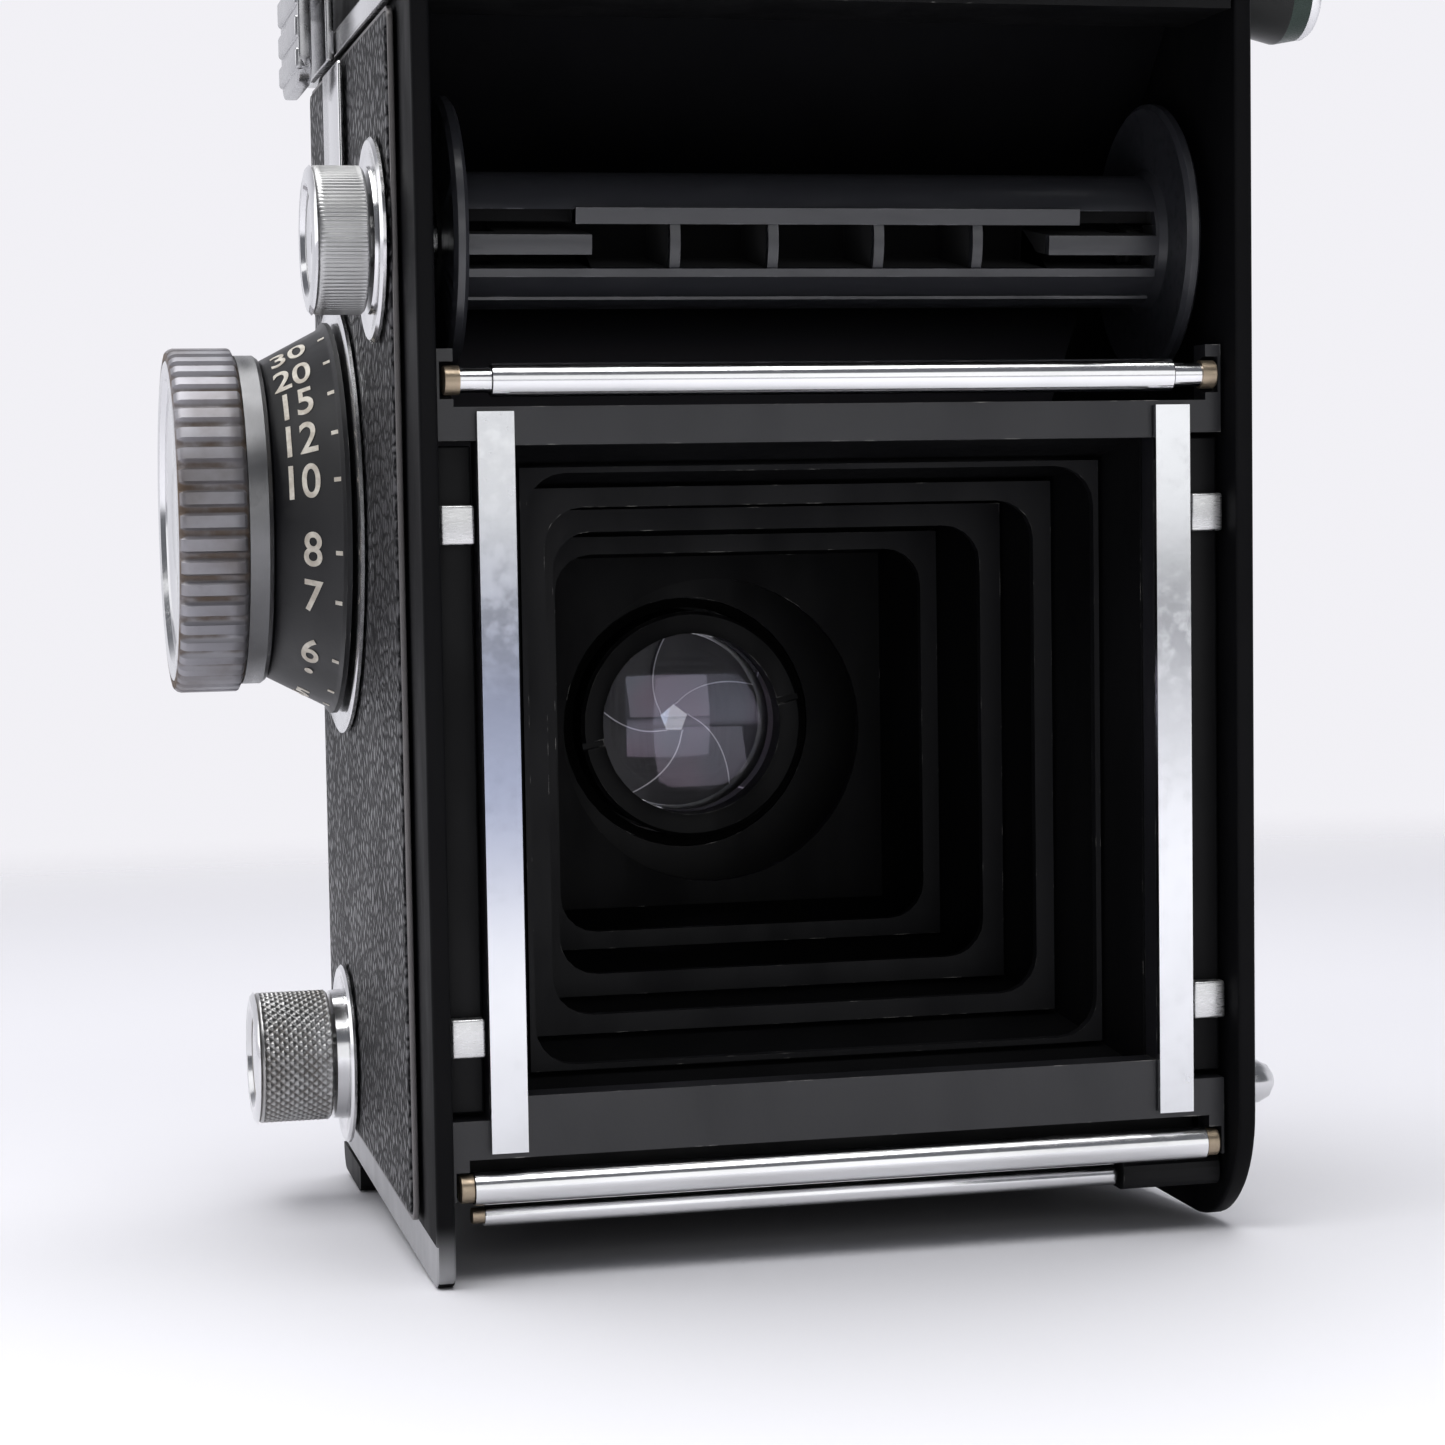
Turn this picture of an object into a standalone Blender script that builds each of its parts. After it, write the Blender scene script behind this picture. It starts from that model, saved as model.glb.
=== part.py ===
"""Twin lens reflex camera, standing with its back swung up and its hood open.

Metres, +Z up, lenses towards -Y. The origin is the middle of the front sill's underside.
Sizes below are in millimetres. "depth" is the distance from the film plane towards the lenses.
"""

import math

import bmesh
import bpy
from mathutils import Euler, Matrix, Vector

MM = 0.001

# Driving dimensions
FILM_Y = 59.0
GATE_Z = 45.0
LENS_SPACING = 42.0
GATE_WIDTH = 56.2
RIM_HALF = 36.3
WALL = 1.6
SKIN = 0.7
GAP = 0.3
REAR_DEPTH = -2.5
FRONT_DEPTH = 66.0
CHEEK_BOTTOM = 2.8
CRANK_SIDE_CORNER = 11.0
SUPPLY_SIDE_CORNER = 2.0
BODY_TOP = 118.0
CHAMBER_TOP = 109.5
SIDE_HALF = RIM_HALF + GAP + SKIN
INNER_HALF = RIM_HALF - WALL
FITTED_HALF = INNER_HALF - GAP
FITTING_FACE = SIDE_HALF + GAP

LEATHER_REAR = 5.5
LEATHER_BOTTOM = 7.0
LEATHER_TOP = 110.0

SPOOL_AXIS = (14.0, 90.9)
SPOOL_LENGTH = 65.8
SPOOL_SHIFT = -0.5
SUPPLY_AXIS = (50.0, 14.4)
FOCUS_AXIS = (46.0, 66.9)
CRANK_AXIS = (30.0, 83.0)
CRANK_THROW = 33.2
STUD_AXIS = (9.0, 14.3)

RAIL_WIDTH = 3.1
RAIL_LOW = GATE_Z - 31.2
RAIL_HIGH = GATE_Z + 30.8
RAIL_FACE = -0.6
GATE_LOW = GATE_Z - 26.6
GATE_HIGH = GATE_Z + 28.0
UPPER_ROLLER = (0.6, 78.4)
LOWER_ROLLER = (0.9, 10.7)
FEELER_ROLLER = (3.0, 7.9)

CHAMBER_REAR = (3.3, 28.0)
CHAMBER_END = (50.8, 17.5)
BAFFLES = ((9.0, 25.7), (17.0, 22.7), (26.0, 20.4), (38.0, 18.1))
MIRROR_SUM = 127.0

DOOR_HINGE = (-5.5, 113.5)
DOOR_OPEN = 197.0
DOOR_SHEET = 1.6

PANEL_REAR = 68.0
PANEL_THICK = 2.5
VIEW_Z = GATE_Z + LENS_SPACING

FLAP_HINGE_X = 30.15
LEFT_FLAP_Z = 122.2
RIGHT_FLAP_Z = 123.2
REAR_FLAP_HINGE = (14.65, 124.2)
LID_HINGE = (63.7, 127.5)
MAGNIFIER_HINGE = (62.25, 170.5)
FLAP_HEIGHT = 48.0
REAR_FLAP_HEIGHT = 33.0
LID_HEIGHT = 48.2

BLACK_PAINT = ((0.02, 0.02, 0.022), 0.55, 0.0)
MATT_BLACK = ((0.012, 0.012, 0.013), 0.85, 0.0)
LEATHERETTE = ((0.03, 0.03, 0.03), 0.7, 0.0)
CHROME = ((0.75, 0.75, 0.76), 0.12, 1.0)
SATIN = ((0.62, 0.62, 0.62), 0.35, 1.0)
PLASTIC = ((0.03, 0.03, 0.035), 0.4, 0.0)
GLASS = ((0.6, 0.6, 0.7), 0.05, 0.0)
MIRROR = ((0.85, 0.85, 0.87), 0.03, 1.0)

STEPS = 40
SMALL_STEPS = 20
SMOOTH_ANGLE = math.radians(40)

PARTS = bpy.data.collections.new("twin_lens_reflex_camera")
CUTTERS = bpy.data.collections.new("cutters")


def clear_scene():
    for obj in list(bpy.data.objects):
        bpy.data.objects.remove(obj, do_unlink=True)
    bpy.context.scene.collection.children.link(PARTS)
    bpy.context.scene.collection.children.link(CUTTERS)


def at(x, depth, z):
    """The world point, in metres, of a place given across, in depth and up in millimetres."""
    return Vector((x, FILM_Y - depth, z)) * MM


def material_of(name, finish):
    colour, roughness, metallic = finish
    material = bpy.data.materials.new(name)
    material.use_nodes = True
    shader = material.node_tree.nodes["Principled BSDF"]
    shader.inputs["Base Color"].default_value = (*colour, 1.0)
    shader.inputs["Roughness"].default_value = roughness
    shader.inputs["Metallic"].default_value = metallic
    return material


def add_object(name, data, finish):
    obj = bpy.data.objects.new(name, data)
    PARTS.objects.link(obj)
    if finish is None:
        return obj
    obj.data.materials.append(material_of(name, finish))
    return obj


def mesh_of(bm, name):
    mesh = bpy.data.meshes.new(name)
    bm.to_mesh(mesh)
    bm.free()
    return mesh


def shade(mesh):
    mesh.shade_smooth()
    mesh.set_sharp_from_angle(angle=SMOOTH_ANGLE)


def box(name, low, high, finish=None):
    """A box between two places given as (x, depth, z)."""
    bm = bmesh.new()
    bmesh.ops.create_cube(bm, size=1.0)
    corner_a, corner_b = at(*low), at(*high)
    size = Vector([abs(b - a) for a, b in zip(corner_a, corner_b)])
    bmesh.ops.scale(bm, vec=size, verts=bm.verts)
    bmesh.ops.translate(bm, vec=(corner_a + corner_b) / 2, verts=bm.verts)
    return add_object(name, mesh_of(bm, name), finish)


def disc(name, axis, centre, radius, start, end, finish=None, steps=STEPS):
    """A cylinder along x (centre is depth, z) or along depth (centre is x, z), between two stations."""
    bm = bmesh.new()
    bmesh.ops.create_cone(
        bm, cap_ends=True, segments=steps, radius1=radius * MM, radius2=radius * MM,
        depth=abs(end - start) * MM,
    )
    middle = (start + end) / 2
    if axis == "x":
        bmesh.ops.rotate(bm, matrix=Matrix.Rotation(math.pi / 2, 3, "Y"), verts=bm.verts)
        place = at(middle, centre[0], centre[1])
    elif axis == "depth":
        bmesh.ops.rotate(bm, matrix=Matrix.Rotation(math.pi / 2, 3, "X"), verts=bm.verts)
        place = at(centre[0], middle, centre[1])
    else:
        place = at(centre[0], centre[1], middle)
    bmesh.ops.translate(bm, vec=place, verts=bm.verts)
    mesh = mesh_of(bm, name)
    shade(mesh)
    return add_object(name, mesh, finish)


def turned(name, axis, centre, profile, finish, steps=STEPS, closed=False):
    """A turned piece. The profile is (radius, station) pairs, from the highest station down its outside.
    Stations run along +x, along depth or along +z, from the place of the axis."""
    bm = bmesh.new()
    points = [bm.verts.new((radius * MM, 0.0, station * MM)) for radius, station in profile]
    links = list(zip(points, points[1:])) + ([(points[-1], points[0])] if closed else [])
    for a, b in links:
        bm.edges.new((a, b))
    obj = add_object(name, mesh_of(bm, name), finish)
    screw = obj.modifiers.new("turn", "SCREW")
    screw.steps = steps
    screw.render_steps = steps
    screw.use_merge_vertices = True
    screw.merge_threshold = 0.00002
    if axis == "x":
        obj.rotation_euler = Euler((0.0, math.pi / 2, 0.0))
        obj.location = at(0.0, centre[0], centre[1])
    elif axis == "depth":
        obj.rotation_euler = Euler((math.pi / 2, 0.0, 0.0))
        obj.location = at(centre[0], 0.0, centre[1])
    else:
        obj.location = at(centre[0], centre[1], 0.0)
    return baked(obj)


def baked(obj):
    """The object with its modifiers applied and its place moved into its mesh."""
    bpy.context.view_layer.update()
    evaluated = obj.evaluated_get(bpy.context.evaluated_depsgraph_get())
    mesh = bpy.data.meshes.new_from_object(evaluated)
    mesh.transform(obj.matrix_world)
    name = obj.name
    bpy.data.objects.remove(obj, do_unlink=True)
    bm = bmesh.new()
    bm.from_mesh(mesh)
    bmesh.ops.remove_doubles(bm, verts=bm.verts, dist=0.00001)
    bm.to_mesh(mesh)
    bm.free()
    shade(mesh)
    made = bpy.data.objects.new(name, mesh)
    PARTS.objects.link(made)
    return made


def rounded(corners, steps=5):
    """The outline through the corners, each given as (a, b, radius), with its round corners as arcs."""
    points = []
    for i, (a, b, radius) in enumerate(corners):
        here = Vector((a, b))
        if radius <= 0:
            points.append(here)
            continue
        back = (Vector(corners[i - 1][:2]) - here).normalized()
        ahead = (Vector(corners[(i + 1) % len(corners)][:2]) - here).normalized()
        half = back.angle(ahead) / 2
        centre = here + (back + ahead).normalized() * radius / math.sin(half)
        start = here + back * radius / math.tan(half) - centre
        turn = start.angle_signed(here + ahead * radius / math.tan(half) - centre)
        for k in range(steps + 1):
            points.append(centre + Matrix.Rotation(-turn * k / steps, 2) @ start)
    return points


def slab(name, plane, outline, start, end, finish=None):
    """A flat piece: an outline in the side plane (depth, z), the front plane (x, z) or the level plane
    (x, depth), thick from start to end across that plane."""
    curve = bpy.data.curves.new(name, "CURVE")
    curve.dimensions = "2D"
    curve.fill_mode = "BOTH"
    curve.extrude = abs(end - start) / 2 * MM
    spline = curve.splines.new("POLY")
    spline.points.add(len(outline) - 1)
    for point, (a, b) in zip(spline.points, outline):
        point.co = (a * MM, b * MM, 0.0, 1.0)
    spline.use_cyclic_u = True
    obj = add_object(name, curve, finish)
    middle = (start + end) / 2
    across = {
        "side": (Vector((0, -1, 0)), Vector((0, 0, 1)), Vector((-1, 0, 0)), at(middle, 0, 0)),
        "front": (Vector((1, 0, 0)), Vector((0, 0, 1)), Vector((0, -1, 0)), at(0, middle, 0)),
        "level": (Vector((1, 0, 0)), Vector((0, -1, 0)), Vector((0, 0, -1)), at(0, 0, middle)),
    }[plane]
    obj.matrix_world = Matrix.Translation(across[3]) @ Matrix(across[:3]).transposed().to_4x4()
    return baked(obj)


def frustum(name, rear, end, finish=None):
    """A square, tapering block along depth, between two (depth, half side) stations."""
    bm = bmesh.new()
    diagonal = math.sqrt(2) * MM
    bmesh.ops.create_cone(
        bm, cap_ends=True, segments=4, radius1=rear[1] * diagonal, radius2=end[1] * diagonal,
        depth=(end[0] - rear[0]) * MM,
    )
    bmesh.ops.rotate(bm, matrix=Matrix.Rotation(math.pi / 4, 3, "Z"), verts=bm.verts)
    bmesh.ops.rotate(bm, matrix=Matrix.Rotation(math.pi / 2, 3, "X"), verts=bm.verts)
    bmesh.ops.translate(bm, vec=at(0, (rear[0] + end[0]) / 2, GATE_Z), verts=bm.verts)
    return add_object(name, mesh_of(bm, name), finish)


def combine(obj, other, operation):
    """Applies a Boolean and puts the second piece away with the cutters."""
    modifier = obj.modifiers.new(operation.lower(), "BOOLEAN")
    modifier.operation = operation
    modifier.object = other
    modifier.solver = "EXACT"
    bpy.context.view_layer.update()
    evaluated = obj.evaluated_get(bpy.context.evaluated_depsgraph_get())
    mesh = bpy.data.meshes.new_from_object(evaluated)
    obj.modifiers.clear()
    obj.data = mesh
    other.name = f"{obj.name}_{operation.lower()}_tool"
    PARTS.objects.unlink(other)
    CUTTERS.objects.link(other)
    other.hide_render = True
    other.display_type = "WIRE"
    return obj


def cut(obj, *tools):
    for tool in tools:
        combine(obj, tool, "DIFFERENCE")
    return obj


def join(obj, *pieces):
    for piece in pieces:
        combine(obj, piece, "UNION")
    return obj


def finished(obj, finish):
    """Gives the piece its own material and clean shading."""
    obj.data.materials.clear()
    obj.data.materials.append(material_of(obj.name, finish))
    shade(obj.data)
    return obj


def pivot(name, place, pieces, angle=0.0):
    """An empty on a joint's axis that carries its pieces, turned about x by an angle."""
    empty = bpy.data.objects.new(name, None)
    PARTS.objects.link(empty)
    empty.location = place
    bpy.context.view_layer.update()
    for piece in pieces:
        piece.parent = empty
        piece.matrix_parent_inverse = empty.matrix_world.inverted()
    empty.rotation_euler = Euler((angle, 0.0, 0.0))
    return empty


# The body

def cheek(name, side):
    rear_corner = SUPPLY_SIDE_CORNER if side > 0 else CRANK_SIDE_CORNER
    corners = [
        (REAR_DEPTH, CHEEK_BOTTOM, rear_corner),
        (FRONT_DEPTH, CHEEK_BOTTOM, 2.0),
        (FRONT_DEPTH, BODY_TOP, 2.0),
        (0.5, BODY_TOP, 0.0),
        (REAR_DEPTH, 112.0, 0.0),
    ]
    plate = slab(name, "side", rounded(corners), side * INNER_HALF, side * RIM_HALF)
    if side > 0:
        for place, radius in ((SPOOL_AXIS, 2.4), (SUPPLY_AXIS, 2.4), (FOCUS_AXIS, 3.4)):
            cut(plate, disc("hole", "x", place, radius, 30, 40, steps=SMALL_STEPS))
    return finished(plate, BLACK_PAINT)


def leather(name, side):
    corners = [
        (LEATHER_REAR, LEATHER_BOTTOM, 1.5),
        (FRONT_DEPTH, LEATHER_BOTTOM, 1.5),
        (FRONT_DEPTH, LEATHER_TOP, 1.5),
        (LEATHER_REAR, LEATHER_TOP, 1.5),
    ]
    panel = slab(name, "side", rounded(corners, 3), side * (RIM_HALF + GAP), side * SIDE_HALF)
    if side > 0:
        for place, radius in ((SPOOL_AXIS, 2.4), (SUPPLY_AXIS, 2.4), (FOCUS_AXIS, 3.4)):
            cut(panel, disc("hole", "x", place, radius, 30, 40, steps=SMALL_STEPS))
    return finished(panel, LEATHERETTE)


def front_wall():
    low = (-FITTED_HALF, FRONT_DEPTH - 2.8, 3.0)
    wall = box("front_wall", low, (FITTED_HALF, FRONT_DEPTH, BODY_TOP - GAP))
    taking_hole = disc("hole", "depth", (0, GATE_Z), 13.0, 60, 70)
    viewing_hole = disc("hole", "depth", (0, VIEW_Z), 16.0, 60, 70)
    cut(wall, taking_hole, viewing_hole)
    return finished(wall, BLACK_PAINT)


def front_sill():
    corners = [(52.0, 0.0, 1.0), (FRONT_DEPTH, 0.0, 2.0), (FRONT_DEPTH, 2.5, 0.0), (52.0, 2.5, 0.0)]
    return finished(slab("front_sill", "side", rounded(corners), -RIM_HALF, RIM_HALF), LEATHERETTE)


def chamber_roof():
    corners = [
        (REAR_DEPTH, CHAMBER_TOP), (9.0, CHAMBER_TOP), (9.0, 117.7),
        (0.9, 117.7), (-2.0, 112.2), (REAR_DEPTH, 111.4),
    ]
    roof = slab("chamber_roof", "side", corners, -FITTED_HALF, FITTED_HALF)
    arm = box("arm", (-12.2, DOOR_HINGE[0], DOOR_HINGE[1] - 0.8), (12.2, 1.0, DOOR_HINGE[1] + 0.8))
    knuckle = disc("knuckle", "x", DOOR_HINGE, 1.4, -12.2, 12.2, steps=SMALL_STEPS)
    return finished(join(roof, arm, knuckle), BLACK_PAINT)


def sloping(along, offset):
    """A place (depth, z) along the mirror's 45 degree plane and behind it."""
    root = math.sqrt(0.5)
    return (12.0 + along * root - offset * root, MIRROR_SUM - 12.0 - along * root - offset * root)


def sloping_plate(name, start, end, front, back, half, finish):
    outline = [sloping(start, front), sloping(start, back), sloping(end, back), sloping(end, front)]
    return finished(slab(name, "side", outline, -half, half), finish)


def gate_frame():
    half = GATE_WIDTH / 2 + RAIL_WIDTH
    frame = box("gate_frame", (-half, 0.3, 13.2), (half, 3.0, 76.2))
    for low, high in ((9.7, 16.5), (73.4, 81.0)):
        join(frame, box("ears", (-FITTED_HALF, 0.3, low), (FITTED_HALF, 3.0, high)))
    cut(
        frame,
        box("opening", (-GATE_WIDTH / 2, -1, GATE_LOW), (GATE_WIDTH / 2, 5, GATE_HIGH)),
        box("upper_bay", (-33.0, -1, 76.2), (33.0, 5, 90.0)),
        box("lower_bay", (-33.0, -1, 0.0), (33.0, 5, 13.2)),
        disc("upper_bearing", "x", UPPER_ROLLER, 1.6, -34.15, 34.15, steps=SMALL_STEPS),
        disc("lower_bearing", "x", LOWER_ROLLER, 1.6, -34.15, 34.15, steps=SMALL_STEPS),
    )
    return finished(frame, MATT_BLACK)


def film_rail(name, side):
    inner = side * GATE_WIDTH / 2
    rail = box(name, (inner, RAIL_FACE, RAIL_LOW), (inner + side * RAIL_WIDTH, 0.0, RAIL_HIGH))
    return finished(rail, SATIN)


def film_guide(name, side):
    inner = side * (GATE_WIDTH / 2 + RAIL_WIDTH + GAP)
    outer = side * FITTED_HALF
    strip = box(name, (inner, 1.4, 17.0), (outer, 3.0, 73.0))
    for low in (GATE_Z + 19.8, GATE_Z - 23.1):
        join(strip, box("pad", (inner, -0.1, low), (outer, 2.0, low + 3.3)))
    return finished(strip, SATIN)


def light_chamber():
    wall = 1.2
    rear = (CHAMBER_REAR[0], CHAMBER_REAR[1] + wall)
    outer = frustum("light_chamber", rear, (CHAMBER_END[0] + wall, CHAMBER_END[1] + wall))
    slope = (CHAMBER_END[1] - CHAMBER_REAR[1]) / (CHAMBER_END[0] - CHAMBER_REAR[0])
    inner = frustum("inside", (CHAMBER_REAR[0] - 1.0, CHAMBER_REAR[1] - slope), CHAMBER_END)
    cut(outer, inner, disc("lens_hole", "depth", (0, GATE_Z), 15.25, 45, 60))
    return finished(outer, MATT_BLACK)


def baffle_frame(number, depth, opening):
    share = (depth + 1.2 - CHAMBER_REAR[0]) / (CHAMBER_END[0] - CHAMBER_REAR[0])
    half = CHAMBER_REAR[1] + share * (CHAMBER_END[1] - CHAMBER_REAR[1]) - GAP
    frame = box(f"baffle_frame_{number}", (-half, depth, GATE_Z - half), (half, depth + 1.0, GATE_Z + half))
    corners = [(a * opening, GATE_Z + b * opening, 3.5) for a, b in ((-1, -1), (1, -1), (1, 1), (-1, 1))]
    cut(frame, slab("opening", "front", rounded(corners), depth - 2, depth + 3))
    return finished(frame, MATT_BLACK)


# Film transport

def rollers():
    upper = [
        (0, 33.9), (1.22, 33.9), (1.22, 32.6), (1.05, 32.6), (1.05, 30.0), (1.42, 30.0),
        (1.42, -30.0), (1.05, -30.0), (1.05, -32.6), (1.22, -32.6), (1.22, -33.9), (0, -33.9),
    ]
    lower = [
        (0, 33.9), (1.2, 33.9), (1.2, 32.7), (1.45, 32.7),
        (1.45, -32.7), (1.2, -32.7), (1.2, -33.9), (0, -33.9),
    ]
    feeler = [(0, 32.6), (0.7, 32.6), (0.7, 31.5), (0.95, 31.5), (0.95, -25.0), (0, -25.0)]
    made = [
        turned("upper_roller", "x", UPPER_ROLLER, upper, None, SMALL_STEPS),
        turned("lower_roller", "x", LOWER_ROLLER, lower, None, SMALL_STEPS),
        turned("feeler_roller", "x", FEELER_ROLLER, feeler, None, SMALL_STEPS),
    ]
    for roller in made:
        finished(roller, CHROME)


def feeler_bracket():
    corners = [(1.4, 6.6, 1.0), (6.0, 6.6, 1.0), (6.0, 7.8, 0.0), (4.6, 9.3, 0.0), (1.4, 9.3, 1.0)]
    return finished(slab("feeler_bracket", "side", rounded(corners, 3), -FITTED_HALF, -25.4), BLACK_PAINT)


def takeup_spool():
    half = SPOOL_LENGTH / 2
    flange, core, bore, lip = 12.3, 5.9, 2.7, 1.3
    end = [(flange - 0.4, half), (flange, half - 0.4), (flange, half - lip), (core, half - lip)]
    mirrored = [(radius, -station) for radius, station in reversed(end)]
    profile = [(0, half - 5), (bore, half - 5), (bore, half)] + end + mirrored
    profile += [(bore, -half), (bore, -half + 5), (0, -half + 5)]
    spool = turned("takeup_spool", "x", SPOOL_AXIS, [(r, s + SPOOL_SHIFT) for r, s in profile], None)
    return finished(spool, PLASTIC)


def spool_drive_key():
    place = -FITTED_HALF
    profile = [
        (0, place + 4.2), (2.2, place + 4.2), (2.2, place + 1.0),
        (4.5, place + 1.0), (4.5, place), (0, place),
    ]
    key = turned("spool_drive_key", "x", SPOOL_AXIS, profile, None, SMALL_STEPS)
    return finished(key, SATIN)


def spool_knob(name, place, near, far, radius, rim):
    pin, boss = 1.9, 2.2
    profile = [
        (0, far - 0.8), (radius - 2.0, far - 0.8), (radius - 1.4, far),
        (radius - rim, far), (radius, far - 0.8), (radius, near), (boss, near),
        (boss, INNER_HALF - GAP), (pin, INNER_HALF - GAP), (pin, 29.6), (0, 29.6),
    ]
    return finished(turned(name, "x", place, profile, None), SATIN)


def washer(name, place, inner, outer, near, far, finish):
    profile = [(inner, far), (outer - 0.3, far), (outer, near), (inner, near)]
    return finished(turned(name, "x", place, profile, None, STEPS, closed=True), finish)


# Focusing

def focus_knob():
    profile = [
        (0, 52.9), (13.4, 52.9), (14.0, 53.8), (15.6, 53.8), (16.2, 53.0), (16.2, 48.0), (15.6, 47.5),
        (15.6, 45.3), (3.0, 45.3), (3.0, 33.6), (0, 33.6),
    ]
    return finished(turned("focus_knob", "x", FOCUS_AXIS, profile, None, 48), SATIN)


def focus_dial():
    profile = [(3.3, 45.0), (15.1, 45.0), (18.0, 39.2), (18.65, 39.2), (18.65, 38.4), (3.3, 38.4)]
    return finished(turned("focus_dial", "x", FOCUS_AXIS, profile, None, 48, closed=True), BLACK_PAINT)


def index_plate():
    corners = [(33.9, 87.9, 0.6), (46.5, 87.9, 0.6), (46.5, 109.0, 0.6), (33.9, 109.0, 0.6)]
    strip = slab("index_plate", "side", rounded(corners, 2), FITTING_FACE, FITTING_FACE + 0.5)
    return finished(strip, CHROME)


def strap_lug(name, side):
    lug = box(name, (side * FITTING_FACE, 40.0, 109.4), (side * (FITTING_FACE + 0.8), 57.0, 117.5))
    slab_corners = [(41.0, 107.6, 2.5), (57.0, 107.6, 2.5), (57.0, 117.5, 0.0), (41.0, 117.5, 0.0)]
    outer = slab("grip", "side", rounded(slab_corners, 4), side * 39.6, side * 41.2)
    bridge = box("bridge", (side * 38.0, 41.0, 115.6), (side * 40.4, 57.0, 117.5))
    return finished(join(lug, bridge, outer), CHROME)


# Film advance crank

def crank():
    hub_profile = [(0, -FITTING_FACE), (9.0, -FITTING_FACE), (9.0, -39.6), (6.5, -41.2), (0, -41.2)]
    hub = finished(turned("crank_hub", "x", CRANK_AXIS, hub_profile, None), CHROME)
    depth, low = CRANK_AXIS
    high = low + CRANK_THROW
    corners = [
        (depth - 4.6, low - 4.6, 4.2), (depth + 4.6, low - 4.6, 4.2),
        (depth + 3.4, high + 3.4, 3.3), (depth - 3.4, high + 3.4, 3.3),
    ]
    arm = finished(slab("crank_arm", "side", rounded(corners, 6), -41.5, -43.0), CHROME)
    handle_profile = [
        (0, -43.3), (3.0, -43.3), (5.2, -52.0), (4.8, -53.8),
        (4.6, -54.8), (3.9, -55.3), (0, -55.3),
    ]
    handle = finished(turned("crank_handle", "x", (depth, high), handle_profile, None, 28), BLACK_PAINT)
    return hub, arm, handle


def side_stud():
    profile = [(0, -FITTING_FACE), (2.1, -FITTING_FACE), (2.1, -40.6), (1.7, -41.9), (0.9, -42.5), (0, -42.6)]
    return finished(turned("side_stud", "x", STUD_AXIS, profile, None, SMALL_STEPS), CHROME)


# The back, modelled shut and then swung open

def back_door():
    back, low, top, tip = -8.3, 1.1, 111.5, 51.5
    skirt_edge, leg_edge = 4.9, 6.7
    half_in, half_out = RIM_HALF + 0.4, SIDE_HALF + 0.1
    outline = [
        (back, low, 8.2), (tip, low, 0.8), (tip, leg_edge, 0.8),
        (skirt_edge, leg_edge, 2.0), (skirt_edge, top, 0.8), (back, top, 0.8),
    ]
    door = slab("back_door", "side", rounded(outline), -half_out, half_out)
    inside = [
        (back + DOOR_SHEET, low + 1.4, 6.5), (tip + 5, low + 1.4, 0.0),
        (tip + 5, top + 5, 0.0), (back + DOOR_SHEET, top + 5, 0.0),
    ]
    cut(door, slab("inside", "side", rounded(inside), -half_in, half_in))
    for side in (-1, 1):
        arm = box("arm", (side * 12.6, -8.2, 110.8), (side * 30.0, -5.5, DOOR_HINGE[1]))
        knuckle = disc("knuckle", "x", DOOR_HINGE, 1.4, side * 12.6, side * 30.0, steps=SMALL_STEPS)
        join(door, arm, knuckle)
    return finished(door, BLACK_PAINT)


def pressure_plate():
    corners = [(a * 31.0, GATE_Z + b * 31.0, 2.0) for a, b in ((-1, -1), (1, -1), (1, 1), (-1, 1))]
    plate = slab("pressure_plate", "front", rounded(corners, 3), -2.2, -1.0)
    for side in (-1, 1):
        join(plate, disc("post", "depth", (side * 20.0, GATE_Z), 2.0, -4.6, -1.8, steps=SMALL_STEPS))
    return finished(plate, SATIN)


def door_latch():
    latch = disc("door_latch", "z", (0.0, 40.0), 8.0, 0.1, 0.8)
    join(latch, box("lever", (0.0, 38.2, 0.1), (14.0, 41.8, 0.8)))
    return finished(latch, CHROME)


def tripod_socket():
    profile = [(3.2, 0.8), (6.5, 0.8), (6.5, 0.1), (3.2, 0.1)]
    return finished(turned("tripod_socket", "z", (0.0, 24.0), profile, None, 24, closed=True), SATIN)


# The lens panel

def lens_panel():
    corners = [(-27.0, 19.0, 9.0), (27.0, 19.0, 9.0), (27.0, 108.0, 16.0), (-27.0, 108.0, 16.0)]
    panel = slab("lens_panel", "front", rounded(corners), PANEL_REAR, PANEL_REAR + PANEL_THICK)
    cut(
        panel,
        disc("hole", "depth", (0, GATE_Z), 12.0, 60, 80),
        disc("hole", "depth", (0, VIEW_Z), 12.6, 60, 80),
        disc("hole", "depth", (19.0, 26.0), 1.6, 60, 80, steps=SMALL_STEPS),
    )
    return finished(panel, SATIN)


def taking_barrel():
    profile = [
        (9.4, -60.0), (11.65, -60.0), (11.65, -70.8), (22.0, -70.8),
        (22.0, -77.5), (20.5, -79.0), (16.0, -79.0),
        (16.0, -84.0), (15.2, -84.6), (13.6, -84.6), (11.4, -80.5), (11.4, -75.0), (9.4, -75.0),
    ]
    barrel = turned("taking_barrel", "depth", (0, GATE_Z), flipped(profile), None, 48, closed=True)
    return finished(barrel, BLACK_PAINT)


def flipped(profile):
    """A profile along depth, for a turning axis that points towards +depth."""
    return [(radius, -station) for radius, station in reversed(profile)]


def viewing_barrel():
    profile = [
        (10.6, -62.0), (12.2, -62.0), (12.2, -70.8), (16.0, -70.8),
        (16.0, -82.6), (15.2, -83.2), (13.9, -83.2),
        (12.4, -79.0), (12.4, -73.0), (10.6, -73.0),
    ]
    barrel = turned("viewing_barrel", "depth", (0, VIEW_Z), flipped(profile), None, 48, closed=True)
    return finished(barrel, BLACK_PAINT)


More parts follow.
